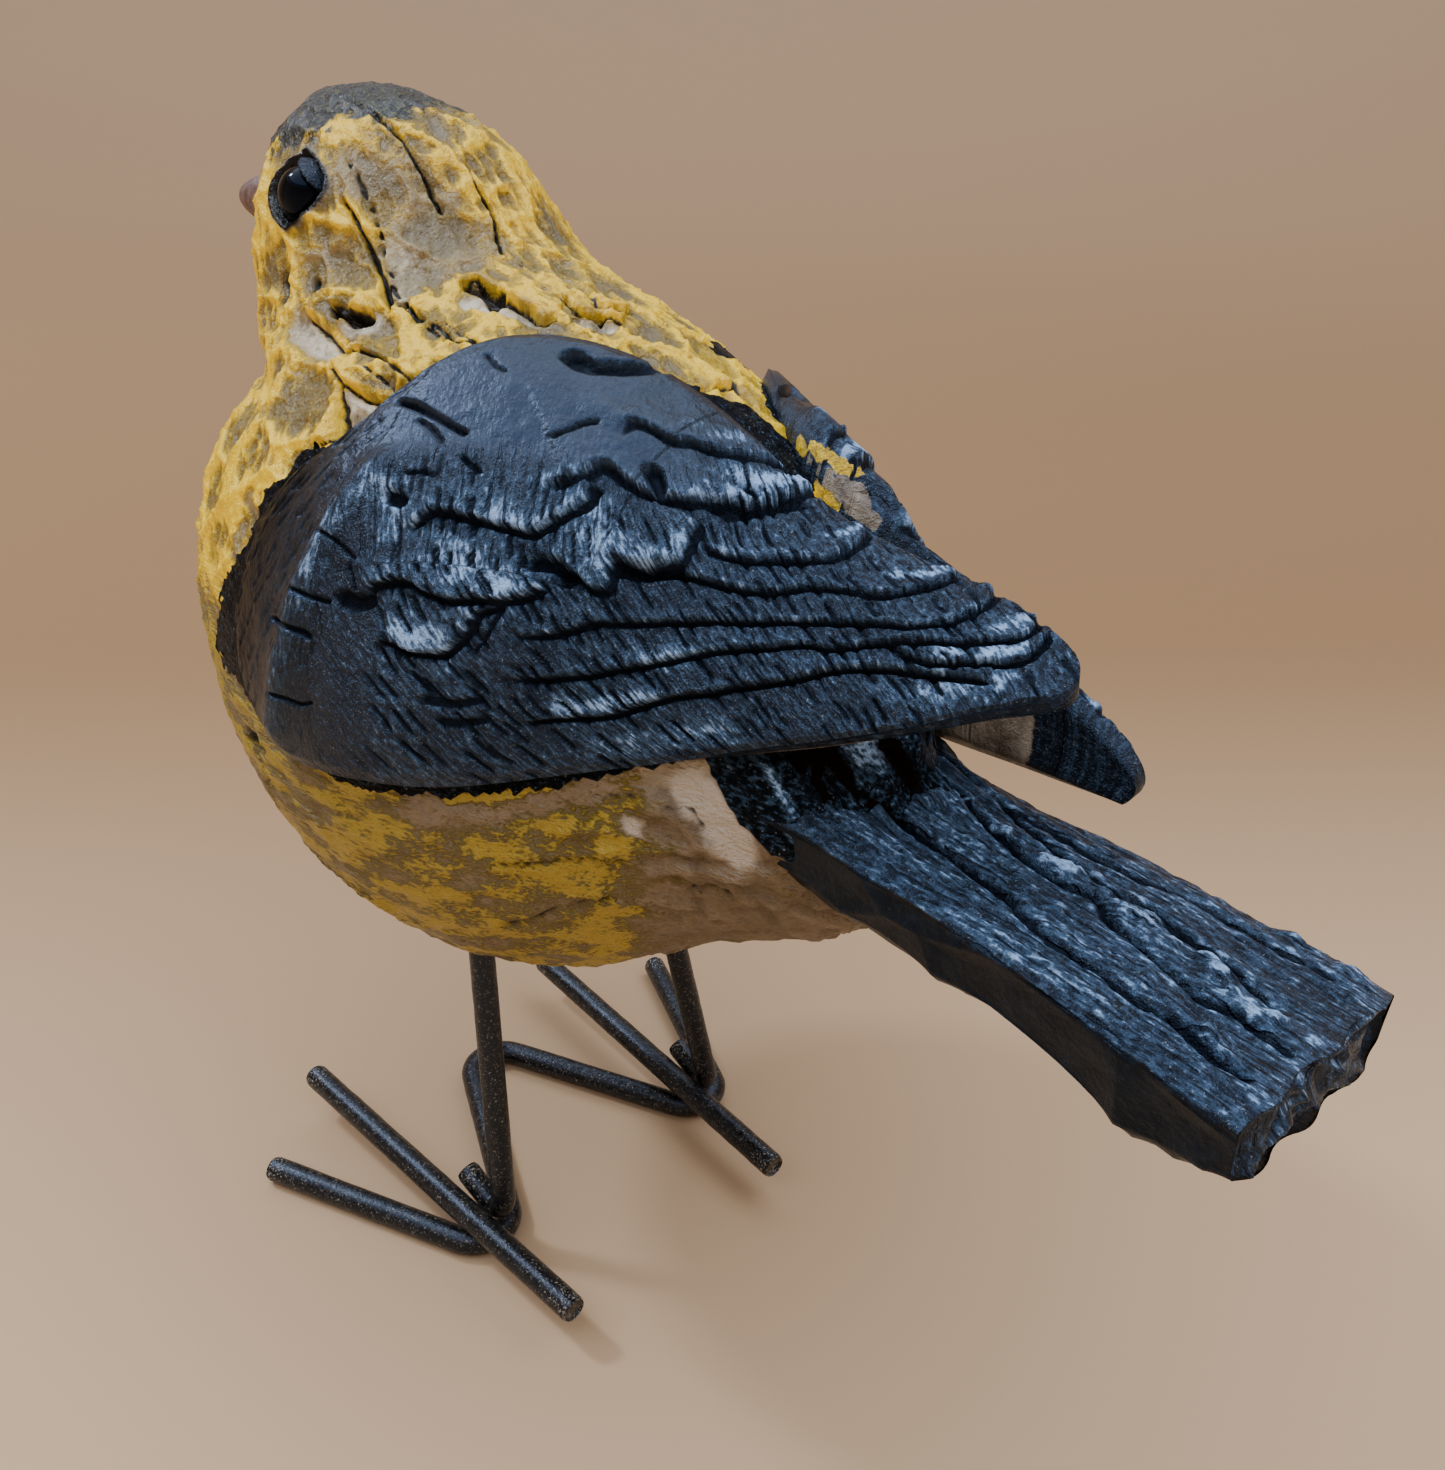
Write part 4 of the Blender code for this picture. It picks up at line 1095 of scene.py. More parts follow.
BODY_FLAPS = (  # how proud, how far it takes to sink back; the flap is above or left of the line
    (1.2, 2.4, ((335, 366), (343, 379), (357, 389), (375, 392), (398, 388), (414, 376))),
    (0.9, 2.0, ((312, 446), (333, 434), (336, 404), (338, 380))),
    (1.2, 2.2, ((463, 280), (474, 274), (492, 286), (508, 299), (527, 305), (540, 314), (557, 317))),
    (1.0, 2.0, ((562, 296), (577, 306), (598, 312), (623, 319))),
    (1.0, 1.8, ((585, 290), (592, 299), (607, 311), (628, 309))),
    (1.2, 1.8, ((329, 302), (337, 311), (352, 312), (369, 313))),
    (0.9, 2.0, ((304, 313), (318, 322), (331, 333), (343, 347), (360, 351))),
    (0.8, 1.6, ((262, 300), (267, 325), (268, 356))),
    (0.8, 1.8, ((700, 388), (722, 384), (748, 392), (757, 404))),
    (0.7, 1.6, ((640, 276), (652, 292), (668, 300))),
)
BODY_HOLLOWS = (  # depth, half width in mm, how pale its floor is
    (0.9, 1.7, 0.9, ((302, 326), (318, 338), (334, 345))),
    (0.5, 1.5, 1.0, ((340, 332), (352, 325), (368, 322))),
    (0.8, 1.8, 1.0, ((350, 400), (372, 408), (378, 398))),
    (0.8, 1.6, 1.0, ((346, 425), (356, 432), (372, 420))),
    (0.5, 0.9, 1.0, ((468, 300), (492, 304), (518, 309), (540, 318))),
    (1.3, 0.9, 0.0, ((473, 283), (486, 290), (498, 296))),
    (0.6, 0.7, 1.0, ((578, 319), (598, 322), (618, 323))),
    (1.0, 0.5, 0.0, ((580, 310), (600, 315))),
    (0.9, 0.7, 0.1, ((282, 280), (285, 290), (284, 300))),
    (0.8, 0.6, 0.1, ((312, 281), (310, 296))),
    (1.0, 0.7, 0.0, ((334, 309), (350, 315), (364, 316))),
    (0.7, 0.7, 0.3, ((260, 310), (264, 335), (262, 352))),
    (0.8, 0.7, 0.0, ((250, 735), (262, 748))),
    (0.7, 0.5, 0.0, ((270, 788), (276, 800))),
    (0.8, 0.7, 0.1, ((730, 374), (740, 390))),
)
PALE_PATCHES = (  # half width in mm, how pale, how much yellow paint is left
    (2.6, 0.25, 0.10, ((352, 170), (375, 178), (402, 190))),
    (1.6, 0.70, 0.30, ((378, 204), (396, 212))),
    (2.9, 0.10, 0.08, ((418, 240), (440, 246), (462, 250))),
    (1.8, 0.20, 0.12, ((432, 265), (456, 268))),
    (1.4, 0.85, 0.12, ((396, 250), (402, 270), (404, 290))),
    (1.5, 0.20, 0.20, ((478, 232), (496, 246))),
    (1.3, 0.30, 0.15, ((437, 196), (452, 200))),
    (1.5, 0.60, 0.00, ((850, 500), (868, 510), (884, 522))),
    (1.2, 0.55, 0.20, ((420, 166), (427, 182))),
    (1.2, 0.35, 0.25, ((326, 238), (346, 246))),
    (1.3, 0.30, 0.15, ((308, 262), (332, 258))),
    (1.4, 0.30, 0.20, ((345, 268), (330, 276))),
    (1.6, 0.75, 0.05, ((300, 322), (322, 338))),
    (1.8, 0.90, 0.00, ((352, 402), (374, 406))),
    (1.5, 0.90, 0.00, ((346, 425), (362, 430))),
    (0.9, 0.95, 0.00, ((470, 300), (500, 305), (530, 311))),
    (0.7, 0.95, 0.00, ((580, 321), (614, 323))),
    (1.6, 0.80, 0.25, ((470, 118), (490, 128))),
    (1.2, 0.45, 0.25, ((300, 372), (322, 392))),
    (1.0, 0.40, 0.20, ((292, 400), (296, 425))),
    (0.9, 0.30, 0.10, ((240, 525), (234, 548))),
    (0.8, 0.30, 0.10, ((246, 498), (254, 520))),
    (1.2, 0.50, 0.25, ((560, 262), (580, 276))),
    (1.0, 0.40, 0.20, ((608, 290), (632, 300))),
)
PUTTY = (  # bare glossy filler: half width in mm
    (0.6, ((628, 822), (640, 826))),
    (1.7, ((694, 788), (712, 806), (730, 826), (744, 846))),
)
BODY_FOLDS = (  # height, half width in mm
    (0.6, 0.6, ((650, 870), (700, 866), (760, 880), (820, 905))),
    (0.5, 0.5, ((560, 830), (600, 826), (650, 832))),
    (0.8, 0.8, ((650, 800), (680, 812), (702, 832), (712, 850))),
    (0.7, 0.7, ((600, 850), (660, 846), (720, 852), (770, 866))),
    (0.7, 0.8, ((690, 880), (730, 870), (770, 872))),
    (0.6, 0.6, ((740, 900), (790, 905), (850, 925))),
    (0.5, 0.6, ((620, 900), (680, 905), (740, 922))),
)
BLACK_BORDER = (  # the black paint's edge round the wing
    (214, 640), (217, 615), (222, 580), (235, 555), (252, 520), (262, 490), (285, 475), (300, 450),
    (345, 440),
    (405, 385), (440, 365), (486, 350), (527, 338), (563, 338), (621, 356), (651, 367), (700, 388),
    (757, 408),
    (815, 450), (815, 520), (705, 755), (566, 786), (506, 793), (440, 799), (345, 786), (290, 752),
    (248, 705), (224, 665),
)
BLACK_ROOT = (  # the black paint that runs from under the wing onto the tail
    (690, 742), (706, 766), (718, 790), (735, 811), (757, 833), (800, 862), (860, 905), (905, 932),
    (1060, 800), (1000, 740), (958, 715), (945, 690), (690, 700),
)
UNDER_WING = ((345, 782), (440, 797), (506, 791), (566, 781), (629, 764), (705, 756))
ROOT_GROOVES = (  # depth, half width in mm
    (0.4, 0.45, ((832, 748), (850, 772), (868, 806), (900, 828))),
    (0.4, 0.45, ((893, 735), (904, 762), (912, 787), (940, 796))),
    (0.6, 0.35, ((800, 752), (815, 775), (828, 800))),
    (0.6, 0.35, ((930, 725), (955, 750), (975, 790))),
)
ROOT_ROPES = (  # height, half width in mm
    (0.5, 0.5, ((878, 738), (890, 752), (902, 764), (931, 791))),
    (0.4, 0.4, ((770, 770), (790, 800), (800, 830))),
)


# %% Relief and paint of the body
CAP_EDGE = (
    (250, 172), (268, 153), (293, 138), (325, 130), (340, 113), (369, 119), (387, 118), (404, 113),
    (428, 104), (450, 101), (478, 114), (500, 124),
)
EYE_AZIMUTH, EYE_ELEVATION = 70.0, 28.0
EYE_DIAMETER, EYE_SOCKET_SINK, EYE_SOCKET_DIAMETER = 5.8, 0.8, 7.8

head_side = np.array((cos(radians(HEAD_TURN)), sin(radians(HEAD_TURN)), 0.0))
head_forward = np.array((sin(radians(HEAD_TURN)), -cos(radians(HEAD_TURN)), 0.0))
UP = np.array((0.0, 0.0, 1.0))


def to_near_side(points):
    """Points of the head's far half moved to its near half, as in a mirror between them."""
    side = (points - np.array(HEAD_MIDDLE)) @ head_side
    return points + np.outer(np.abs(side) - side, head_side)


def on_body(lines):
    """Drawn lines as places on the skin."""
    return [(*line[:-1], seen_at(line[-1], skin_points, skin_out)) for line in lines]


def streaks(points, ways, size, reach, seed):
    """Noise drawn out along ways, like the marks of a brush."""
    steps = np.linspace(-reach, reach, 7)
    return sum(cloud(points + ways * step, size, seed) for step in steps) / len(steps)


def wing_cover(points):
    """1 under a wing, 0 beyond its edge, with a soft edge about a millimetre wide."""
    angle = np.degrees(np.arctan2(points[:, 2] - WING_LINE_HEIGHT, np.abs(points[:, 0])))
    total = np.zeros(len(points))
    for edges, side in ((LEFT_WING_EDGES, 1), (RIGHT_WING_EDGES, -1)):
        low = np.interp(points[:, 1], *zip(*edges[0]))
        high = np.interp(points[:, 1], *zip(*edges[1]))
        inside = ramp((angle - low) / 2.5) * ramp((high - angle) / 2.5)
        inside *= ramp((points[:, 1] + 9.5) / 1.5) * (points[:, 0] * side > 0)
        total = np.maximum(total, inside)
    return total


def carve_body():
    """Height in mm over the skin, and the numbers that its paint reads, by name."""
    points, out = skin_points, skin_out
    pixels = pixel_of(points)
    faces_camera = ((to_carving(EYE_POINT[None]) - points) * out).sum(axis=1) > -10
    z, y = points[:, 2], points[:, 1]
    lengthwise = 1 - ramp((z - 24) / 22)
    way = np.array((0.0, 1.0, 0.0)) * lengthwise[:, None]
    way = way + np.array((0.0, 0.5, -0.87)) * (1 - lengthwise)[:, None]
    way = way - out * (way * out).sum(axis=1, keepdims=True)
    way /= np.maximum(np.linalg.norm(way, axis=1, keepdims=True), 1e-6)
    stretched = points * (1.0, 0.6, 1.0)
    marks = scoops(stretched + 1.2 * (clouds(points, 4.0, 5) - 0.5)[:, None], 5.6, 11)
    small = scoops(points + 0.6 * (clouds(points, 2.0, 8) - 0.5)[:, None], 2.4, 12)
    strokes = streaks(points, way, 0.55, 1.3, 31)
    rough = 0.6 * (cloud(points, 0.9, 41) - 0.5) + 0.3 * (cloud(points, 0.45, 42) - 0.5)
    calm = 1 - 0.45 * lengthwise
    height = calm * (-0.60 * (1 - marks**4) - 0.22 * (1 - small**3)) + 0.32
    height += 0.35 * (clouds(points, 2.4, 51) - 0.5) + 0.65 * (strokes - 0.5)
    low = ramp((0.02 - height) / 0.45)
    # hollow: how far the paint is darkened as painted shade, in cracks, pits, hollows and grooves
    hollow = np.zeros(len(points))
    rim = np.zeros(len(points))
    pale = 0.30 + 0.35 * clouds(points, 5.0, 61) + 0.25 * (clouds(points, 1.4, 64) - 0.5)
    yellow = 0.58 + 0.75 * (marks - 0.70) + 0.45 * (small - 0.70) + 0.9 * (strokes - 0.5)
    yellow += 0.5 * (clouds(points, 2.2, 66) - 0.5) + 0.30 * (clouds(points, 7.0, 68) - 0.5)
    dragged = clouds(points * (1.0, 0.22, 1.0), 1.7, 69)
    yellow += lengthwise * (0.60 + 1.5 * (dragged - 0.5) + 0.25 * (marks - 0.7) - yellow)
    on_near = pixel_of(np.column_stack([np.abs(points[:, 0]), y, z]))
    u, v = on_near.T
    vent = ramp((u - 610) / 90) * ramp((v - 765) / 25)
    away, _, side = to_line(on_near, UNDER_WING)
    band = ramp((36 - away) / 16) * (side > 0) * ramp((u - 385) / 40) * (v > 700)
    lip = bell((away - 2) / 4) * (side > 0) * ramp((u - 440) / 8) * ramp((560 - u) / 8)
    nape = bell((z - 48 - 0.5 * y) / 7) * ramp((y + 34) / 10)
    yellow += 0.24 * nape - 0.85 * vent - 0.5 * band + 1.2 * lip + 0.05 * lengthwise
    whitish = band * ramp((u - 540) / 120) * ramp((860 - v) / 40)
    pale += 0.10 * band - 0.15 * vent + 0.28 * whitish
    creases = scoops(points * (1.0, 0.45, 1.0) + 0.8 * (clouds(points, 2.5, 72) - 0.5)[:, None], 3.4, 71)
    height -= 0.45 * vent * ramp((creases - 0.80) / 0.15)
    pale -= 0.5 * vent * ramp((creases - 0.80) / 0.15) - 0.2 * vent * (creases - 0.5)
    for wide, paleness, left, places in on_body(PALE_PATCHES):
        away, _, _ = to_line(points, points[places])
        inside = ramp(1.5 - (away + 1.1 * rough) / (1.15 * wide))
        yellow += (left + 0.12 - yellow) * inside
        pale += (paleness - pale) * inside
        height -= 0.25 * inside
    for tall, wide, places in on_body(BODY_FOLDS):
        away, _, _ = to_line(points, points[places])
        height += tall * bell((away + 0.5 * rough) / wide)
        pale += 0.25 * bell(away / wide)
    for deep, wide, places in on_body(BODY_CRACKS):
        away, share, _ = to_line(points, points[places])
        cut = bell((away + 0.25 * rough) / wide) * ramp(share / 0.06) * ramp((1 - share) / 0.04)
        height += 0.25 * bell((away - 2 * wide) / wide) - deep * cut
        hollow = np.maximum(hollow, cut * (1 - 0.35 * lengthwise))
        rim = np.maximum(rim, 0.35 * bell((away - 1.8 * wide) / 0.25))
    for deep, wide, places in on_body(BODY_PITS):
        away, share, _ = to_line(points, points[places])
        beads = ramp((cloud(points, 0.8, 91) - 0.34) / 0.15)
        cut = bell((away + 0.4 * rough) / wide) * beads * (share > 0) * (share < 1)
        height -= deep * cut
        hollow = np.maximum(hollow, cut)
    for deep, wide, paleness, places in on_body(BODY_HOLLOWS):
        away, _, _ = to_line(points, points[places])
        cut = ramp(1.5 - (away + 0.5 * rough) / wide)
        height -= deep * cut
        yellow -= yellow * cut
        pale += (paleness - pale) * cut
        hollow = np.maximum(hollow, cut * (0.85 * (paleness < 0.2)))
    for proud, fade, line in BODY_FLAPS:
        places = seen_at(line, points, out)
        away, share, _ = to_line(points, points[places])
        _, _, side = to_line(pixels, np.array(line, float))
        signed = -side * away + 0.5 * rough
        at_ends = (share <= 0) | (share >= 1)
        kept = faces_camera * (away < 4 * fade) * np.where(at_ends, np.exp(-away / 0.5), 1.0)
        sinking = np.exp(-np.clip(signed, 0, 30) / (1.5 * fade))
        height += 0.55 * kept * proud * ramp(signed / 0.2 + 0.5) * sinking
        under = kept * bell((signed + 0.25) / 0.22)
        height -= 0.4 * under
        hollow = np.maximum(hollow, 0.8 * under)
        rim = np.maximum(rim, kept * bell((signed - 0.3) / 0.45))
        yellow = np.maximum(yellow, 0.95 * kept * bell((signed - 0.3) / 0.7))
    edge_noise = 14 * rough
    black = ramp((inside_by(on_near, BLACK_BORDER) + edge_noise) / 2.5)
    root = ramp((inside_by(on_near, BLACK_ROOT) + edge_noise) / 2.5) * (y > 5)
    black = np.maximum(black * (y > -20) * (y < 32), root)
    gap = ramp((inside_by(pixels, BARE_PATCH) + 10 * rough) / 3) * faces_camera
    for outline in (*PETALS, YELLOW_STRIP):
        painted = ramp((inside_by(pixels, outline) + 5 * rough) / 3) * faces_camera
        black *= 1 - painted
        gap *= 1 - painted
        yellow += painted * (0.95 - yellow)
    black *= 1 - gap
    yellow *= 1 - gap
    height = height * (1 - 0.75 * black)
    torn, rope, split, _ = bark(points)
    rope = 0.5 * rope * root
    height += torn * root
    hollow = np.maximum(hollow * (1 - black), split * root)
    for deep, wide, places in on_body(ROOT_GROOVES):
        away, _, _ = to_line(points, points[places])
        cut = bell((away + 0.5 * rough) / wide)
        height -= deep * cut
        hollow = np.maximum(hollow, cut)
    for tall, wide, places in on_body(ROOT_ROPES):
        away, _, _ = to_line(points, points[places])
        rope = np.maximum(rope, bell((away + 0.5 * rough) / wide))
        height += tall * bell(away / wide)
    distance, above_under = from_tail(points)
    height += MELT * MELT_FILL * np.exp(-distance / MELT) * ramp(above_under / 3) * ramp((y - 12) / 8)
    putty = np.zeros(len(points))
    for wide, places in on_body(PUTTY):
        away, _, _ = to_line(points, points[places])
        putty = np.maximum(putty, ramp(1.6 - (away + 0.8 * rough) / wide))
    putty *= 1 - black
    height = height * (1 - 0.6 * np.maximum(putty, whitish)) + 0.2 * putty
    yellow -= 0.8 * putty
    near = to_near_side(points)
    _, _, side = to_line(pixel_of(near), np.array(CAP_EDGE, float))
    edge, _, _ = to_line(near, skin_points[seen_at(CAP_EDGE, skin_points, skin_out)])
    cap = ramp(0.55 - side * edge / 4.5 + 1.2 * rough) * ramp((z - 62) / 4) * (y < -14)
    height *= 1 - 0.45 * cap
    return {
        "height": height, "hollow": hollow, "rim": rim, "yellow": yellow, "pale": pale, "putty": putty,
        "cap": cap, "low": low * (1 - whitish), "black": black, "rope": rope, "lengthwise": lengthwise,
    }


body = carve_body()

# %% Eyes on the head
def eye_places(side):
    """The eye's point on the skin, the way out, and the two ways along the skin."""
    around = radians(EYE_AZIMUTH)
    level = cos(around) * head_forward + sin(around) * head_side * side
    way = cos(radians(EYE_ELEVATION)) * level + sin(radians(EYE_ELEVATION)) * UP
    middle = np.array(HEAD_MIDDLE)
    point = middle + way * skin_distance(middle, way)
    out = skin_normals(point[None])[0]
    tall = UP - out * (UP @ out)
    tall /= np.linalg.norm(tall)
    return point, out, tall, np.cross(tall, out)


LID_HALF_HEIGHT, LID_HALF_WIDTH, LID_SLANT = 3.7, 3.5, -6.0


def sink_eyes(height, yellow):
    """The pointed oval hollow round each eye, with a raised rim, and how dark its paint is."""
    dark = np.zeros(len(height))
    for side in (1, -1):
        point, out, tall, wide = eye_places(side)
        off = skin_points - point
        slant = radians(LID_SLANT) * side
        v = off @ (cos(slant) * tall + sin(slant) * wide)
        u = off @ (cos(slant) * wide - sin(slant) * tall)
        near = np.abs(off @ out) < 5
        almond = np.abs(u) / LID_HALF_WIDTH + (np.abs(v) / LID_HALF_HEIGHT) ** 2
        inside = ramp((1.12 - almond) / 0.30) * near
        ring = bell((almond - 1.22) / 0.2) * near
        height = height * (1 - 0.9 * np.maximum(inside, ring)) - 1.5 * inside + 0.45 * ring
        dark = np.maximum(dark, np.maximum(inside, ramp((1.42 - almond) / 0.2) * near))
        yellow = yellow * (1 - dark)
    return height, dark, yellow


body["height"], body["eye"], body["yellow"] = sink_eyes(body["height"], body["yellow"])
cover = wing_cover(skin_points)
carved_skin = skin_points + skin_out * (body["height"] * (1 - cover) - 0.9 * cover)[:, None]
skin_numbers = {key: body[key] for key in body if key != "height"}
skin = mesh_object("painted_body", carved_skin, skin_faces, skin_numbers)

# %% [markdown]
# ## The tail's bark-like top
#
# Long grooves were cut along the top and torn rather than sliced, so their edges are rough.
# Between them the paint lies in ropes. The near side was cut clean, in a few long scallops.

# %% Relief of the tail
TAIL_GROOVES = (  # depth, half width in mm
    (1.3, 0.42, (
        (854, 777), (868, 806), (912, 835), (961, 864), (1009, 898), (1043, 932), (1096, 966), (1140, 1000),
        (1174, 1019), (1213, 1053), (1247, 1077),
    )),
    (1.3, 0.42, (
        (912, 787), (951, 801), (980, 825), (1019, 855), (1062, 884), (1096, 898), (1111, 922), (1145, 951),
        (1193, 990), (1242, 1019), (1290, 1053),
    )),
    (1.0, 0.38, (
        (975, 790), (999, 806), (1028, 830), (1062, 855), (1106, 888), (1150, 908), (1193, 942),
        (1232, 971), (1271, 1005),
    )),
    (0.7, 0.35, ((940, 770), (990, 800), (1050, 832), (1120, 870), (1200, 905), (1290, 955), (1340, 985))),
)
TAIL_ROPES = (  # height, half width in mm, how brushed
    (0.8, 1.0, 1.0, (
        (970, 811), (1009, 840), (1048, 862), (1087, 882), (1125, 910), (1169, 934), (1208, 960),
        (1232, 992), (1266, 1019), (1310, 1039),
    )),
    (0.6, 0.8, 0.5, (
        (930, 815), (975, 850), (1020, 880), (1060, 915), (1110, 950), (1160, 990), (1210, 1030),
    )),
    (0.5, 0.5, 0.8, ((878, 738), (902, 762), (931, 791), (961, 811), (999, 830))),
    (0.5, 0.9, 0.5, ((1290, 940), (1330, 962), (1365, 990))),
)


def carve_tail():
    """The tail's carved points, how hollow and brushed they are, the grain's way and the clean sides."""
    points = tail_base.reshape(-1, 3)
    out = slopes_of(points, tail_faces[:-2])
    flip = np.sign((out * (points - tail_base.mean(axis=1).repeat(tail_ring, axis=0))).sum(axis=1).mean())
    out = out * flip
    in_end = np.repeat(np.arange(len(tail_base)) >= TAIL_STATIONS, tail_ring)
    on_top = ramp((out[:, 2] - 0.25) / 0.3)
    on_end = in_end.astype(float)
    torn, rope_like, split, lumps = bark(points)
    height = on_top * torn
    facets = scoops(points * (1.0, 0.32, 0.6), 5.5, 331)
    side = (1 - on_top) * (1 - on_end)
    height += side * (-0.8 * (1 - facets**3) + 0.35 + 0.12 * (clouds(points, 2.0, 335) - 0.5))
    end_marks = scoops(points * (0.55, 1.0, 1.0), 4.2, 341)
    end_relief = -1.0 * (1 - end_marks**3) + 0.15 + 0.3 * (lumps - 0.5)
    # painted shade: the tail's splits and grooves are darkened through hollow
    hollow = on_top * split
    brushed = on_top * rope_like + 0.45 * on_end * lumps
    rough = 0.9 * (cloud(points, 1.2, 345) - 0.5) + 0.5 * (cloud(points, 0.5, 346) - 0.5)
    for deep, wide, line in TAIL_GROOVES:
        away, share, _ = to_line(points, points[seen_at(line, points, out)])
        cut = bell((away + 0.5 * rough) / wide) * ramp(share / 0.05) * (1 - on_end)
        height -= deep * cut * (0.6 + 0.8 * cloud(points, 2.5, 351))
        hollow = np.maximum(hollow, cut)
        brushed = np.maximum(brushed * (1 - cut), 0.55 * bell((away - 2.2 * wide) / 0.5))
    for tall, wide, pale, line in TAIL_ROPES:
        away, share, _ = to_line(points, points[seen_at(line, points, out)])
        broken = 0.35 + 0.65 * ramp((clouds(points, 1.8, 371) - 0.40) / 0.16)
        rope = bell((away + 1.2 * rough) / (1.4 * wide)) * (1 - on_end) * broken
        height += tall * rope * (0.3 + 0.9 * lumps)
        brushed = np.maximum(brushed, pale * rope)
    corner = ramp((out[:, 2] - 0.1) / 0.25) * ramp((0.75 - out[:, 2]) / 0.25)
    height += 0.5 * corner * (clouds(points * (1, 0.5, 1), 2.0, 361) - 0.5)
    height *= 1 - 0.85 * ramp((points[:, 1] - 76.5) / 3.2)
    level = np.maximum(skin_level(points), 0)
    height += MELT * MELT_FILL * np.exp(-level / MELT) * ramp((out[:, 2] + 0.4) / 0.6)
    grain = np.column_stack([points[:, 1], points[:, 0], points[:, 2]])
    rings = (points + out * height[:, None]).reshape(-1, tail_ring, 3)[:TAIL_STATIONS]
    carved = with_end(rings).reshape(-1, 3)
    carved[:, 1] += on_end * end_relief
    return carved, hollow, brushed, grain, side


SIDE_PAINTED_SHADE = 0.8  # painted shade: how far the tail's clean sides are darkened towards near black
tail_points, tail_hollow, tail_brushed, tail_grain, tail_side = carve_tail()
tail_numbers = {
    "hollow": tail_hollow, "brushed": tail_brushed, "front": tail_side, "painted_shade": SIDE_PAINTED_SHADE * tail_side,
}
tail = mesh_object("tail", tail_points, tail_faces, tail_numbers, {"grain": tail_grain})

# %% [markdown]
# ## Eyes and lids
#
# Each eye is a bead pushed into a socket, under a lid pressed from the same paste as the head.
# A bead is a plain ball, because its gloss does all the work. A lid is a part of a slightly
# larger ball, cut off at an angle and given a thickness, so that it follows the bead exactly.

# %% Beak and beads
beak = mesh_object("beak", beak_base, beak_faces)


def bead_object(name, side):
    """A polished ball in its socket."""
    point, out, _, _ = eye_places(side)
    depth = EYE_SOCKET_SINK + EYE_SOCKET_DIAMETER / 2 - CLEARANCE - EYE_DIAMETER / 2
    ball = bmesh.new()
    bmesh.ops.create_uvsphere(ball, u_segments=64, v_segments=40, radius=EYE_DIAMETER / 2)
    ball.verts.index_update()
    points = np.array([vert.co for vert in ball.verts]) + point - out * depth
    faces = [[v.index for v in f.verts] for f in ball.faces]
    ball.free()
    return mesh_object(name, points, faces)


beads = {"left_eye": bead_object("left_bead", 1), "right_eye": bead_object("right_bead", -1)}

# %% Upper lids
LID_RADIUS, LID_THICKNESS = 3.55, 0.5
LID_REACH = 46.0  # degrees from the lid's middle to its free edge
LID_UP, LID_BACK, LID_OUT = 0.72, 0.62, 0.12  # the way to the lid's middle


def lid_object(name, side):
    """A thin cap over the bead's upper rear, like a lid pressed from the paste round it."""
    point, out, tall, wide = eye_places(side)
    depth = EYE_SOCKET_SINK + EYE_SOCKET_DIAMETER / 2 - CLEARANCE - EYE_DIAMETER / 2
    way = LID_UP * tall + LID_BACK * side * wide + LID_OUT * out
    way /= np.linalg.norm(way)
    ball = bmesh.new()
    bmesh.ops.create_uvsphere(ball, u_segments=96, v_segments=64, radius=LID_RADIUS)
    far = [v for v in ball.verts if np.dot(v.co, way) < LID_RADIUS * cos(radians(LID_REACH))]
    bmesh.ops.delete(ball, geom=far, context="VERTS")
    bmesh.ops.solidify(ball, geom=ball.faces[:], thickness=LID_THICKNESS)
    ball.verts.index_update()
    points = np.array([vert.co for vert in ball.verts]) + point - out * depth
    faces = [[v.index for v in f.verts] for f in ball.faces]
    ball.free()
    return mesh_object(name, points, faces)


lids = [lid_object("left_upper_lid", 1), lid_object("right_upper_lid", -1)]

# %% [markdown]
# ## Paint
#
# The carving is painted by hand in acrylics. A material reads the numbers stored on each point
# and breaks their edges up with fine noise, so that paint ends in flecks as a dry brush leaves
# it. Every colour is written as the hex value that a colour picker gives and turned to linear.

# %% Material helpers
def paint(hex_code):
    """An sRGB hex colour as the linear red, green, blue and alpha that a shader takes."""
    parts = [int(hex_code[n : n + 2], 16) / 255 for n in (1, 3, 5)]
    linear = [p / 12.92 if p <= 0.04045 else ((p + 0.055) / 1.055) ** 2.4 for p in parts]
    return (*linear, 1.0)


def add(tree, kind, inputs=None, **settings):
    """Adds a node, sets it up and links or fills its inputs."""
    node = tree.nodes.new(kind)
    for key, value in settings.items():
        setattr(node, key, value)
    for socket, value in (inputs or {}).items():
        if isinstance(value, bpy.types.NodeSocket):
            tree.links.new(value, node.inputs[socket])
        else:
            node.inputs[socket].default_value = value
    return node


def new_material(name):
    """A material, its node tree and its main shader."""
    material = bpy.data.materials.new(name)
    material.use_nodes = True
    tree = material.node_tree
    return material, tree, tree.nodes["Principled BSDF"]


def number(tree, name):
    """Reads a number that was stored on the points."""
    return add(tree, "ShaderNodeAttribute", attribute_name=name).outputs["Fac"]


def sum_of(tree, *terms):
    """Adds up sockets, each multiplied by its own factor. A bare number is added as it is."""
    total = None
    for term in terms:
        if isinstance(term, tuple):
            term = add(tree, "ShaderNodeMath", {0: term[0], 1: term[1]}, operation="MULTIPLY").outputs[0]
        if total is None:
            total = term
        else:
            total = add(tree, "ShaderNodeMath", {0: total, 1: term}, operation="ADD").outputs[0]
    return total


def between(tree, value, low, high):
    """0 below low, 1 above high."""
    inputs = {"Value": value, "From Min": low, "From Max": high}
    return add(tree, "ShaderNodeMapRange", inputs, interpolation_type="SMOOTHSTEP").outputs["Result"]


def mix(tree, factor, first, second):
    """The first colour where factor is 0, the second where it is 1."""
    inputs = {0: factor, 6: first, 7: second}
    return add(tree, "ShaderNodeMix", inputs, data_type="RGBA").outputs[2]


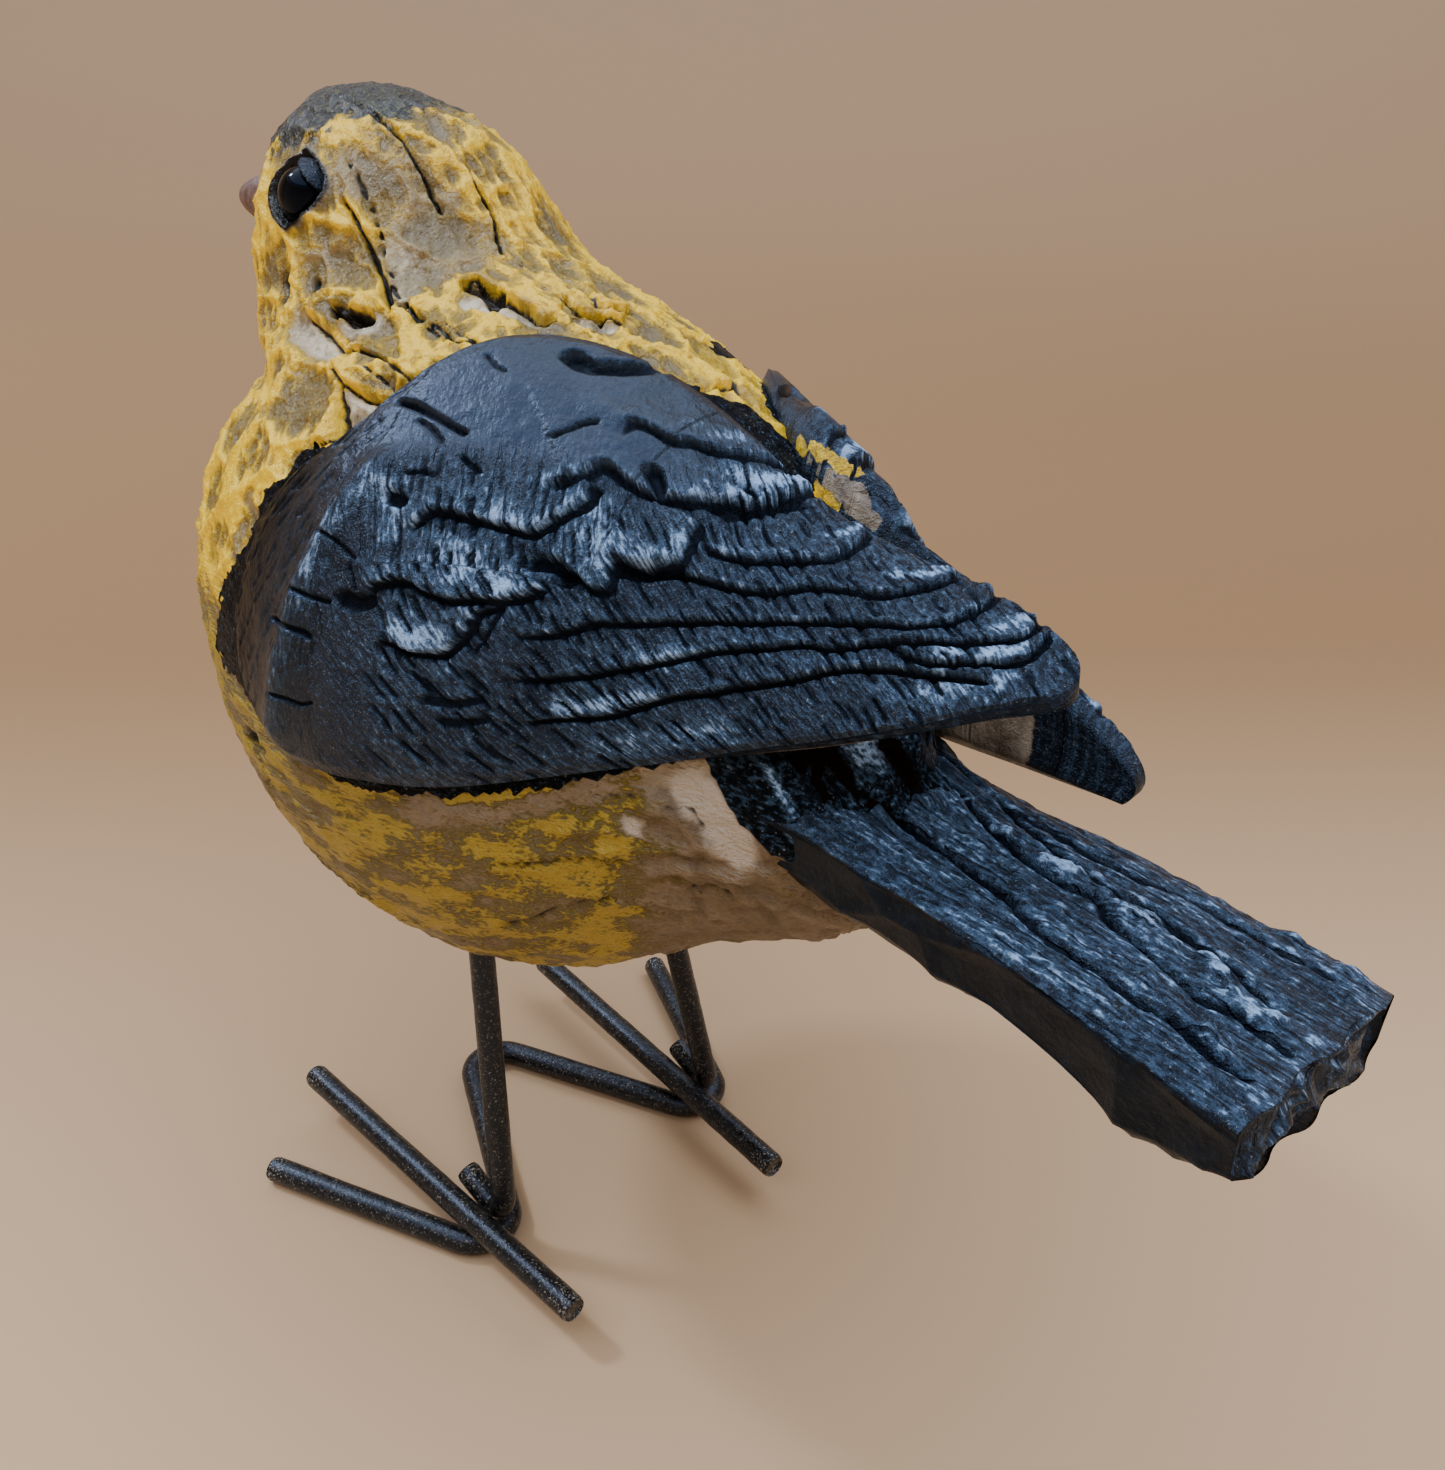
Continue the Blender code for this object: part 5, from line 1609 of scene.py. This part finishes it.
def noise(tree, place, size, detail=3.0):
    """Noise whose lumps are about size mm apart, from coordinates in metres."""
    inputs = {"Vector": place, "Scale": 1 / (size * MM), "Detail": detail, "Roughness": 0.6}
    return add(tree, "ShaderNodeTexNoise", inputs).outputs["Fac"]


def dents(tree, shader, height, depth):
    """Bump whose full height is depth, in mm."""
    inputs = {"Height": height, "Distance": depth * MM, "Strength": 1.0}
    tree.links.new(add(tree, "ShaderNodeBump", inputs).outputs["Normal"], shader.inputs["Normal"])


# %% Yellow acrylic over cream primer
COLD_REFLECTION_TINT = "#9DBDF2"  # painted reflection colour: the black's reflections are tinted cold blue, standing in for cold light
HAIR_SCALE = 3000.0  # a brush hair's mark is a third of a millimetre wide
HAIR_LENGTH = 7.0  # and so many times longer


def primer_colour(tree, fine, lumps):
    """Cream primer, stained taupe and brown by handling."""
    pale = number(tree, "pale")
    level = sum_of(tree, pale, (fine, 0.9), -0.45)
    colour = mix(tree, between(tree, level, 0.1, 0.8), paint("#6C5B46"), paint("#AE9D82"))
    level = sum_of(tree, pale, (lumps, 0.6), -0.3)
    return mix(tree, between(tree, level, 0.70, 1.0), colour, paint("#CFC3AB"))


def hairs_along(tree, place, scale):
    """Fine noise drawn out along the axis whose scale is small, as a stiff brush leaves it."""
    drawn = add(tree, "ShaderNodeMapping", {"Vector": place, "Scale": scale}).outputs["Vector"]
    return add(tree, "ShaderNodeTexNoise", {"Vector": drawn, "Scale": 1.0, "Detail": 4.0}).outputs["Fac"]


def black_colour(tree, brushed, hairs, fine, flecks):
    """Black acrylic with blue-grey streaks, brighter where the brush dragged over a ridge."""
    level = sum_of(tree, brushed, (hairs, 2.1), (fine, 0.9), (flecks, 0.5), -1.76)
    colour = mix(tree, between(tree, fine, 0.35, 0.65), paint("#06080A"), paint("#12161B"))
    colour = mix(tree, between(tree, level, 0.10, 0.60), colour, paint("#31465D"))
    colour = mix(tree, between(tree, level, 0.55, 1.15), colour, paint("#A0C2EE"))
    speck = between(tree, sum_of(tree, flecks, (fine, 0.35)), 0.83, 0.90)
    return mix(tree, speck, colour, paint("#7C858F"))


def yellow_paint():
    """Thick brushed acrylic, satin, worn through to cream and taupe primer."""
    material, tree, shader = new_material("brushed_yellow_acrylic_on_primer")
    place = add(tree, "ShaderNodeTexCoord").outputs["Object"]
    lumps = noise(tree, place, 1.6)
    fine = noise(tree, place, 0.6, 4.0)
    flecks = noise(tree, place, 0.25, 3.0)
    lengthwise = number(tree, "lengthwise")
    upright = sum_of(tree, 1.0, (lengthwise, -1.0))
    along_body = hairs_along(tree, place, (HAIR_SCALE, HAIR_SCALE / HAIR_LENGTH, HAIR_SCALE))
    down_head = hairs_along(tree, place, (HAIR_SCALE, HAIR_SCALE, HAIR_SCALE / HAIR_LENGTH))
    hairs = sum_of(tree, (along_body, lengthwise), (down_head, upright))
    # painted shade: the belly, facing down, gets darker primer, glaze and coat colours
    belly = between(tree, lengthwise, 0.5, 1.0)
    painted = primer_colour(tree, fine, lumps)
    painted = mix(tree, sum_of(tree, (belly, 0.65)), painted, paint("#65543F"))
    strokes = sum_of(tree, (sum_of(tree, (lengthwise, 1.0), 0.4), hairs))
    bias = sum_of(tree, (lengthwise, -0.5), -0.48)
    level = sum_of(tree, number(tree, "yellow"), strokes, (fine, 0.35), (flecks, 0.1), (lumps, 0.3), bias)
    glaze = between(tree, level, 0.10, 0.46)
    glazed = sum_of(tree, (glaze, 0.5))
    painted = mix(tree, glazed, painted, mix(tree, belly, paint("#B49A48"), paint("#75601F")))
    crisp = sum_of(tree, (between(tree, level, 0.40, 0.52), upright))
    thin = sum_of(tree, crisp, (between(tree, level, 0.28, 0.66), lengthwise))
    thick = between(tree, level, 0.56, 0.85)
    bright = mix(tree, thick, paint("#B9962A"), paint("#FACD12"))
    # painted shade: darker coat colours on the belly
    coat = mix(tree, belly, bright, mix(tree, thick, paint("#655820"), paint("#A68E20")))
    coat = mix(tree, between(tree, number(tree, "rim"), 0.25, 0.9), coat, paint("#F5C514"))
    painted = mix(tree, thin, painted, coat)
    # darker olive-brown where the relief lies low, broken up by the brush hairs
    low_darkening = between(tree, sum_of(tree, number(tree, "low"), (hairs, 1.0), -0.45), 0.3, 1.0)
    painted = mix(tree, sum_of(tree, (low_darkening, 0.6)), painted, paint("#4A3F16"))
    cap = between(tree, sum_of(tree, number(tree, "cap"), (fine, 0.7), (hairs, 0.9), -0.8), 0.30, 0.72)
    olive = between(tree, sum_of(tree, fine, (hairs, 0.8)), 0.92, 1.15)
    slate = mix(tree, olive, paint("#171C21"), paint("#626030"))
    painted = mix(tree, cap, painted, slate)
    putty = between(tree, sum_of(tree, number(tree, "putty"), (fine, 0.4), -0.2), 0.1, 0.9)
    painted = mix(tree, putty, painted, paint("#B8AD9E"))
    eye = between(tree, number(tree, "eye"), 0.3, 0.8)
    painted = mix(tree, eye, painted, paint("#070505"))
    dark = between(tree, number(tree, "black"), 0.4, 0.6)
    painted = mix(tree, dark, painted, black_colour(tree, number(tree, "rope"), along_body, fine, flecks))
    # painted shade: cracks, pits and hollows are darkened nearly to black
    hollow = between(tree, sum_of(tree, number(tree, "hollow"), (fine, 0.4), -0.2), 0.3, 0.7)
    painted = mix(tree, hollow, painted, paint("#120C07"))
    tree.links.new(painted, shader.inputs["Base Color"])
    rough = sum_of(tree, 0.22, (flecks, 0.25), (putty, -0.10), (eye, -0.05))
    tree.links.new(rough, shader.inputs["Roughness"])
    shine = sum_of(tree, 0.6, (hollow, -0.25), (eye, -0.3), (dark, -0.55))
    tree.links.new(shine, shader.inputs["Specular IOR Level"])
    # painted reflection colour: the black parts' reflections are tinted cold blue
    tree.links.new(mix(tree, dark, paint("#FFFFFF"), paint(COLD_REFLECTION_TINT)), shader.inputs["Specular Tint"])
    shader.inputs["IOR"].default_value = 1.48
    ruts = sum_of(tree, (sum_of(tree, (lengthwise, 0.9), 0.5), hairs))
    height = sum_of(tree, (fine, 0.5), ruts, (lumps, 0.9), (flecks, 0.2), (thin, 0.25), (thick, 0.35))
    dents(tree, shader, height, 0.34)
    return material


# %% Black acrylic, dry-brushed
CUT_PITCH = 1.1  # mm between the finest knife cuts


def fine_cuts(tree, grain):
    """Thin broken lines across the grain: knife cuts too narrow for the mesh."""
    inputs = {"Vector": grain, "Scale": 2 * pi / (20 * CUT_PITCH), "Distortion": 1.6}
    inputs |= {"Detail": 1.0, "Detail Scale": 1.5}
    waves = add(tree, "ShaderNodeTexWave", inputs, bands_direction="Y").outputs["Fac"]
    broken = hairs_along(tree, grain, (0.3, 0.9, 1.0))
    line = between(tree, waves, 0.93, 0.99)
    return sum_of(tree, (line, between(tree, broken, 0.47, 0.55)))


def black_paint():
    """Black acrylic with a satin skin, dusty, and dragged over with pale blue on raised edges."""
    material, tree, shader = new_material("dry_brushed_black_acrylic")
    place = add(tree, "ShaderNodeTexCoord").outputs["Object"]
    fine = noise(tree, place, 0.5, 4.0)
    flecks = noise(tree, place, 0.16, 2.0)
    lumps = noise(tree, place, 2.5)
    grain = add(tree, "ShaderNodeAttribute", attribute_name="grain").outputs["Vector"]
    smooth = number(tree, "front")
    textured = sum_of(tree, 1.0, (smooth, -1.0))
    hairs = hairs_along(tree, grain, (0.9, 3.2, 1.0))
    cuts = sum_of(tree, (fine_cuts(tree, grain), textured))
    coat = black_colour(tree, number(tree, "brushed"), hairs, fine, flecks)
    streaked = between(tree, sum_of(tree, lumps, (hairs, 0.5)), 0.5, 1.0)
    satin = mix(tree, streaked, paint("#0C1015"), paint("#1E2832"))
    coat = mix(tree, sum_of(tree, (smooth, 0.72)), coat, satin)
    # painted shade: the wing's front border and the tail's clean sides are darkened to near black, and
    # reflect less
    shade_black = mix(tree, between(tree, lumps, 0.3, 0.7), paint("#050506"), paint("#0C0D0F"))
    painted_shade = number(tree, "painted_shade")
    coat = mix(tree, sum_of(tree, (painted_shade, 0.8)), coat, shade_black)
    # painted shade: hollows, grooves, cracks and the fine knife cuts are darkened nearly to black
    hollow = between(tree, number(tree, "hollow"), 0.2, 0.6)
    deep = sum_of(tree, hollow, (cuts, 0.8))
    coat = mix(tree, deep, coat, paint("#020203"))
    bare = between(tree, sum_of(tree, number(tree, "bare"), (fine, 0.6), -0.3), 0.4, 0.7)
    primer = mix(tree, between(tree, lumps, 0.3, 0.7), paint("#6A5C4B"), paint("#AD9F8A"))
    coat = mix(tree, bare, coat, primer)
    gold = mix(tree, between(tree, fine, 0.35, 0.65), paint("#B8961F"), paint("#F5CD1E"))
    coat = mix(tree, between(tree, number(tree, "yellow"), 0.4, 0.6), coat, gold)
    tree.links.new(coat, shader.inputs["Base Color"])
    rough = sum_of(tree, 0.13, (flecks, 0.26), (fine, 0.12), (hollow, 0.3))
    tree.links.new(rough, shader.inputs["Roughness"])
    shine = sum_of(tree, 0.75, (hollow, -0.3), (painted_shade, -0.60))
    tree.links.new(shine, shader.inputs["Specular IOR Level"])
    # painted reflection colour: reflections tinted cold blue, standing in for cold light
    shader.inputs["Specular Tint"].default_value = paint(COLD_REFLECTION_TINT)
    shader.inputs["IOR"].default_value = 1.45
    rutted = sum_of(tree, (hairs, 1.1))
    gritty = sum_of(tree, fine, (flecks, 0.6), rutted)
    height = sum_of(tree, (gritty, sum_of(tree, (textured, 0.8), 0.2)), lumps, (cuts, -0.9))
    dents(tree, shader, height, 0.30)
    return material


# %% Beak, beads and wire
def beak_paint():
    """Thin mauve-brown acrylic, smooth."""
    material, tree, shader = new_material("smooth_mauve_acrylic")
    place = add(tree, "ShaderNodeTexCoord").outputs["Object"]
    fine = noise(tree, place, 0.8)
    coat = mix(tree, between(tree, fine, 0.3, 0.7), paint("#5C4542"), paint("#7D6560"))
    tree.links.new(coat, shader.inputs["Base Color"])
    shader.inputs["Roughness"].default_value = 0.42
    dents(tree, shader, noise(tree, place, 0.4), 0.05)
    return material


def bead_glass():
    """A black acrylic bead: a polished skin that mirrors the room."""
    material, tree, shader = new_material("polished_black_bead")
    place = add(tree, "ShaderNodeTexCoord").outputs["Object"]
    haze = noise(tree, place, 1.5)
    tree.links.new(mix(tree, haze, paint("#050506"), paint("#0B0D12")), shader.inputs["Base Color"])
    shader.inputs["Roughness"].default_value = 0.05
    # painted reflection colour: the bead's reflections are tinted cold blue
    shader.inputs["Specular Tint"].default_value = paint(COLD_REFLECTION_TINT)
    shader.inputs["IOR"].default_value = 1.34
    shader.inputs["Specular IOR Level"].default_value = 0.3
    return material


def wire_paint():
    """Mild steel wire dipped in black enamel, satin, dusty, and chipped at its cut ends."""
    material, tree, shader = new_material("black_enamelled_wire")
    place = add(tree, "ShaderNodeTexCoord").outputs["Object"]
    fine = noise(tree, place, 0.7, 4.0)
    flecks = noise(tree, place, 0.25, 3.0)
    coat = mix(tree, between(tree, fine, 0.35, 0.7), paint("#09090A"), paint("#151414"))
    dusty = between(tree, sum_of(tree, flecks, (fine, 0.4)), 0.76, 0.86)
    coat = mix(tree, dusty, coat, paint("#4E4B48"))
    end = between(tree, number(tree, "from_end"), 5.0, 0.2)
    worn = between(tree, sum_of(tree, (end, 0.10), flecks), 0.63, 0.72)
    coat = mix(tree, worn, coat, paint("#8A857E"))
    tree.links.new(coat, shader.inputs["Base Color"])
    tree.links.new(sum_of(tree, 0.18, (fine, 0.25)), shader.inputs["Roughness"])
    # painted reflection colour: the wire's reflections are tinted cold blue
    shader.inputs["Specular Tint"].default_value = paint("#C6D8F5")
    dents(tree, shader, sum_of(tree, fine, (flecks, 0.5)), 0.08)
    return material


yellow, black = yellow_paint(), black_paint()
for piece in (left_wing, right_wing, tail, *lids):
    piece.data.materials.append(black)
skin.data.materials.append(yellow)
beak.data.materials.append(beak_paint())
glass, enamel = bead_glass(), wire_paint()
for piece in beads.values():
    piece.data.materials.append(glass)
for piece in wires.values():
    piece.data.materials.append(enamel)

# %% [markdown]
# ## Floor and light
#
# The floor is a sheet of warm paper that curves up all round, so no horizon shows. It is painted
# pale on the picture's near side and brown beyond the bird, to match the tones of the picture:
# that is painted shade, standing in for light that falls off across a room.
# The light is a wide round patch of sky straight above, a small soft lamp at one side, which
# puts highlights on the black paint, and the pale sky of the world.

# %% Floor and light
SHEET_FLAT, SHEET_BEND, SHEET_SIDES = 0.9, 2.2, 96  # metres
# painted shade: the paper darkens away from the camera, and grows a little paler again far back
PAPER_SHADE_FROM, PAPER_SHADE_TO = 0.06, -0.18  # metres towards the camera, where the paper dims
PAPER_LIFT_FROM, PAPER_LIFT_TO = -0.1, -2.2  # and where it grows a little paler again, far back


def curved_sheet():
    """A round sheet, flat in the middle and bent up at its rim."""
    bends = np.linspace(0, pi / 2, 16)
    radii = np.concatenate([[0.001, 0.3, 0.7], SHEET_FLAT + SHEET_BEND * np.sin(bends)])
    heights = np.concatenate([[0, 0, 0], SHEET_BEND * (1 - np.cos(bends))])
    turns = np.arange(SHEET_SIDES) / SHEET_SIDES * 2 * pi
    across, back = np.outer(radii, np.cos(turns)), np.outer(radii, np.sin(turns))
    rings = np.stack([across, back, heights[:, None] + 0 * turns], axis=-1)
    faces = ring_faces(len(radii), SHEET_SIDES).tolist()
    faces.append(list(range(SHEET_SIDES)))
    return mesh_object("floor", rings.reshape(-1, 3) / MM, [f[::-1] for f in faces], flat=True)


floor = curved_sheet()
material, tree, shader = new_material("paper_with_painted_shade")
place = add(tree, "ShaderNodeTexCoord").outputs["Object"]
spot = add(tree, "ShaderNodeSeparateXYZ", {"Vector": place})
to_camera = Vector(CAMERA_FROM_FEET[:2]).normalized()
# painted shade on the paper, graded by distance towards the camera
nearer = sum_of(tree, (spot.outputs["X"], to_camera.x), (spot.outputs["Y"], to_camera.y))
beyond = mix(tree, between(tree, nearer, PAPER_LIFT_FROM, PAPER_LIFT_TO), paint("#8B6945"), paint("#A58769"))
shade = between(tree, nearer, PAPER_SHADE_TO, PAPER_SHADE_FROM)
tree.links.new(mix(tree, shade, beyond, paint("#C6A785")), shader.inputs["Base Color"])
shader.inputs["Roughness"].default_value = 0.9
floor.data.materials.append(material)

world = bpy.data.worlds.new("studio")
bpy.context.scene.world = world
world.use_nodes = True
sky = world.node_tree.nodes["Background"]
sky.inputs["Color"].default_value = paint("#E2E8F0")
sky.inputs["Strength"].default_value = 0.66


def soft_sky(strength, spread, colour):
    """Even light from a wide round patch of sky straight above."""
    light = bpy.data.lights.new("sky_patch", "SUN")
    light.energy = strength
    light.angle = radians(spread)
    light.color = paint(colour)[:3]
    bpy.context.scene.collection.objects.link(bpy.data.objects.new("sky_patch", light))


def soft_light(name, place, size, power, colour):
    """A round lamp that shines at the bird's feet."""
    light = bpy.data.lights.new(name, "AREA")
    light.shape = "DISK"
    light.size = size
    light.energy = power
    light.color = paint(colour)[:3]
    thing = bpy.data.objects.new(name, light)
    thing.location = place
    thing.rotation_euler = (-Vector(place)).to_track_quat("-Z", "Y").to_euler()
    bpy.context.scene.collection.objects.link(thing)


soft_sky(3.4, 90.0, "#EAF2FF")
soft_light("side", (0.25, -0.55, 0.70), 0.10, 3.2, "#E6F0FF")

# %% What rides on what
for piece in (left_wing, right_wing, skin, tail, beak, *lids):
    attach(piece, "root")
    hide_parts("carved_bird")
for node, piece in beads.items():
    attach(piece, "root")
    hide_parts(node)
for node, piece in wires.items():
    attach(piece, "root")
    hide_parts(node)
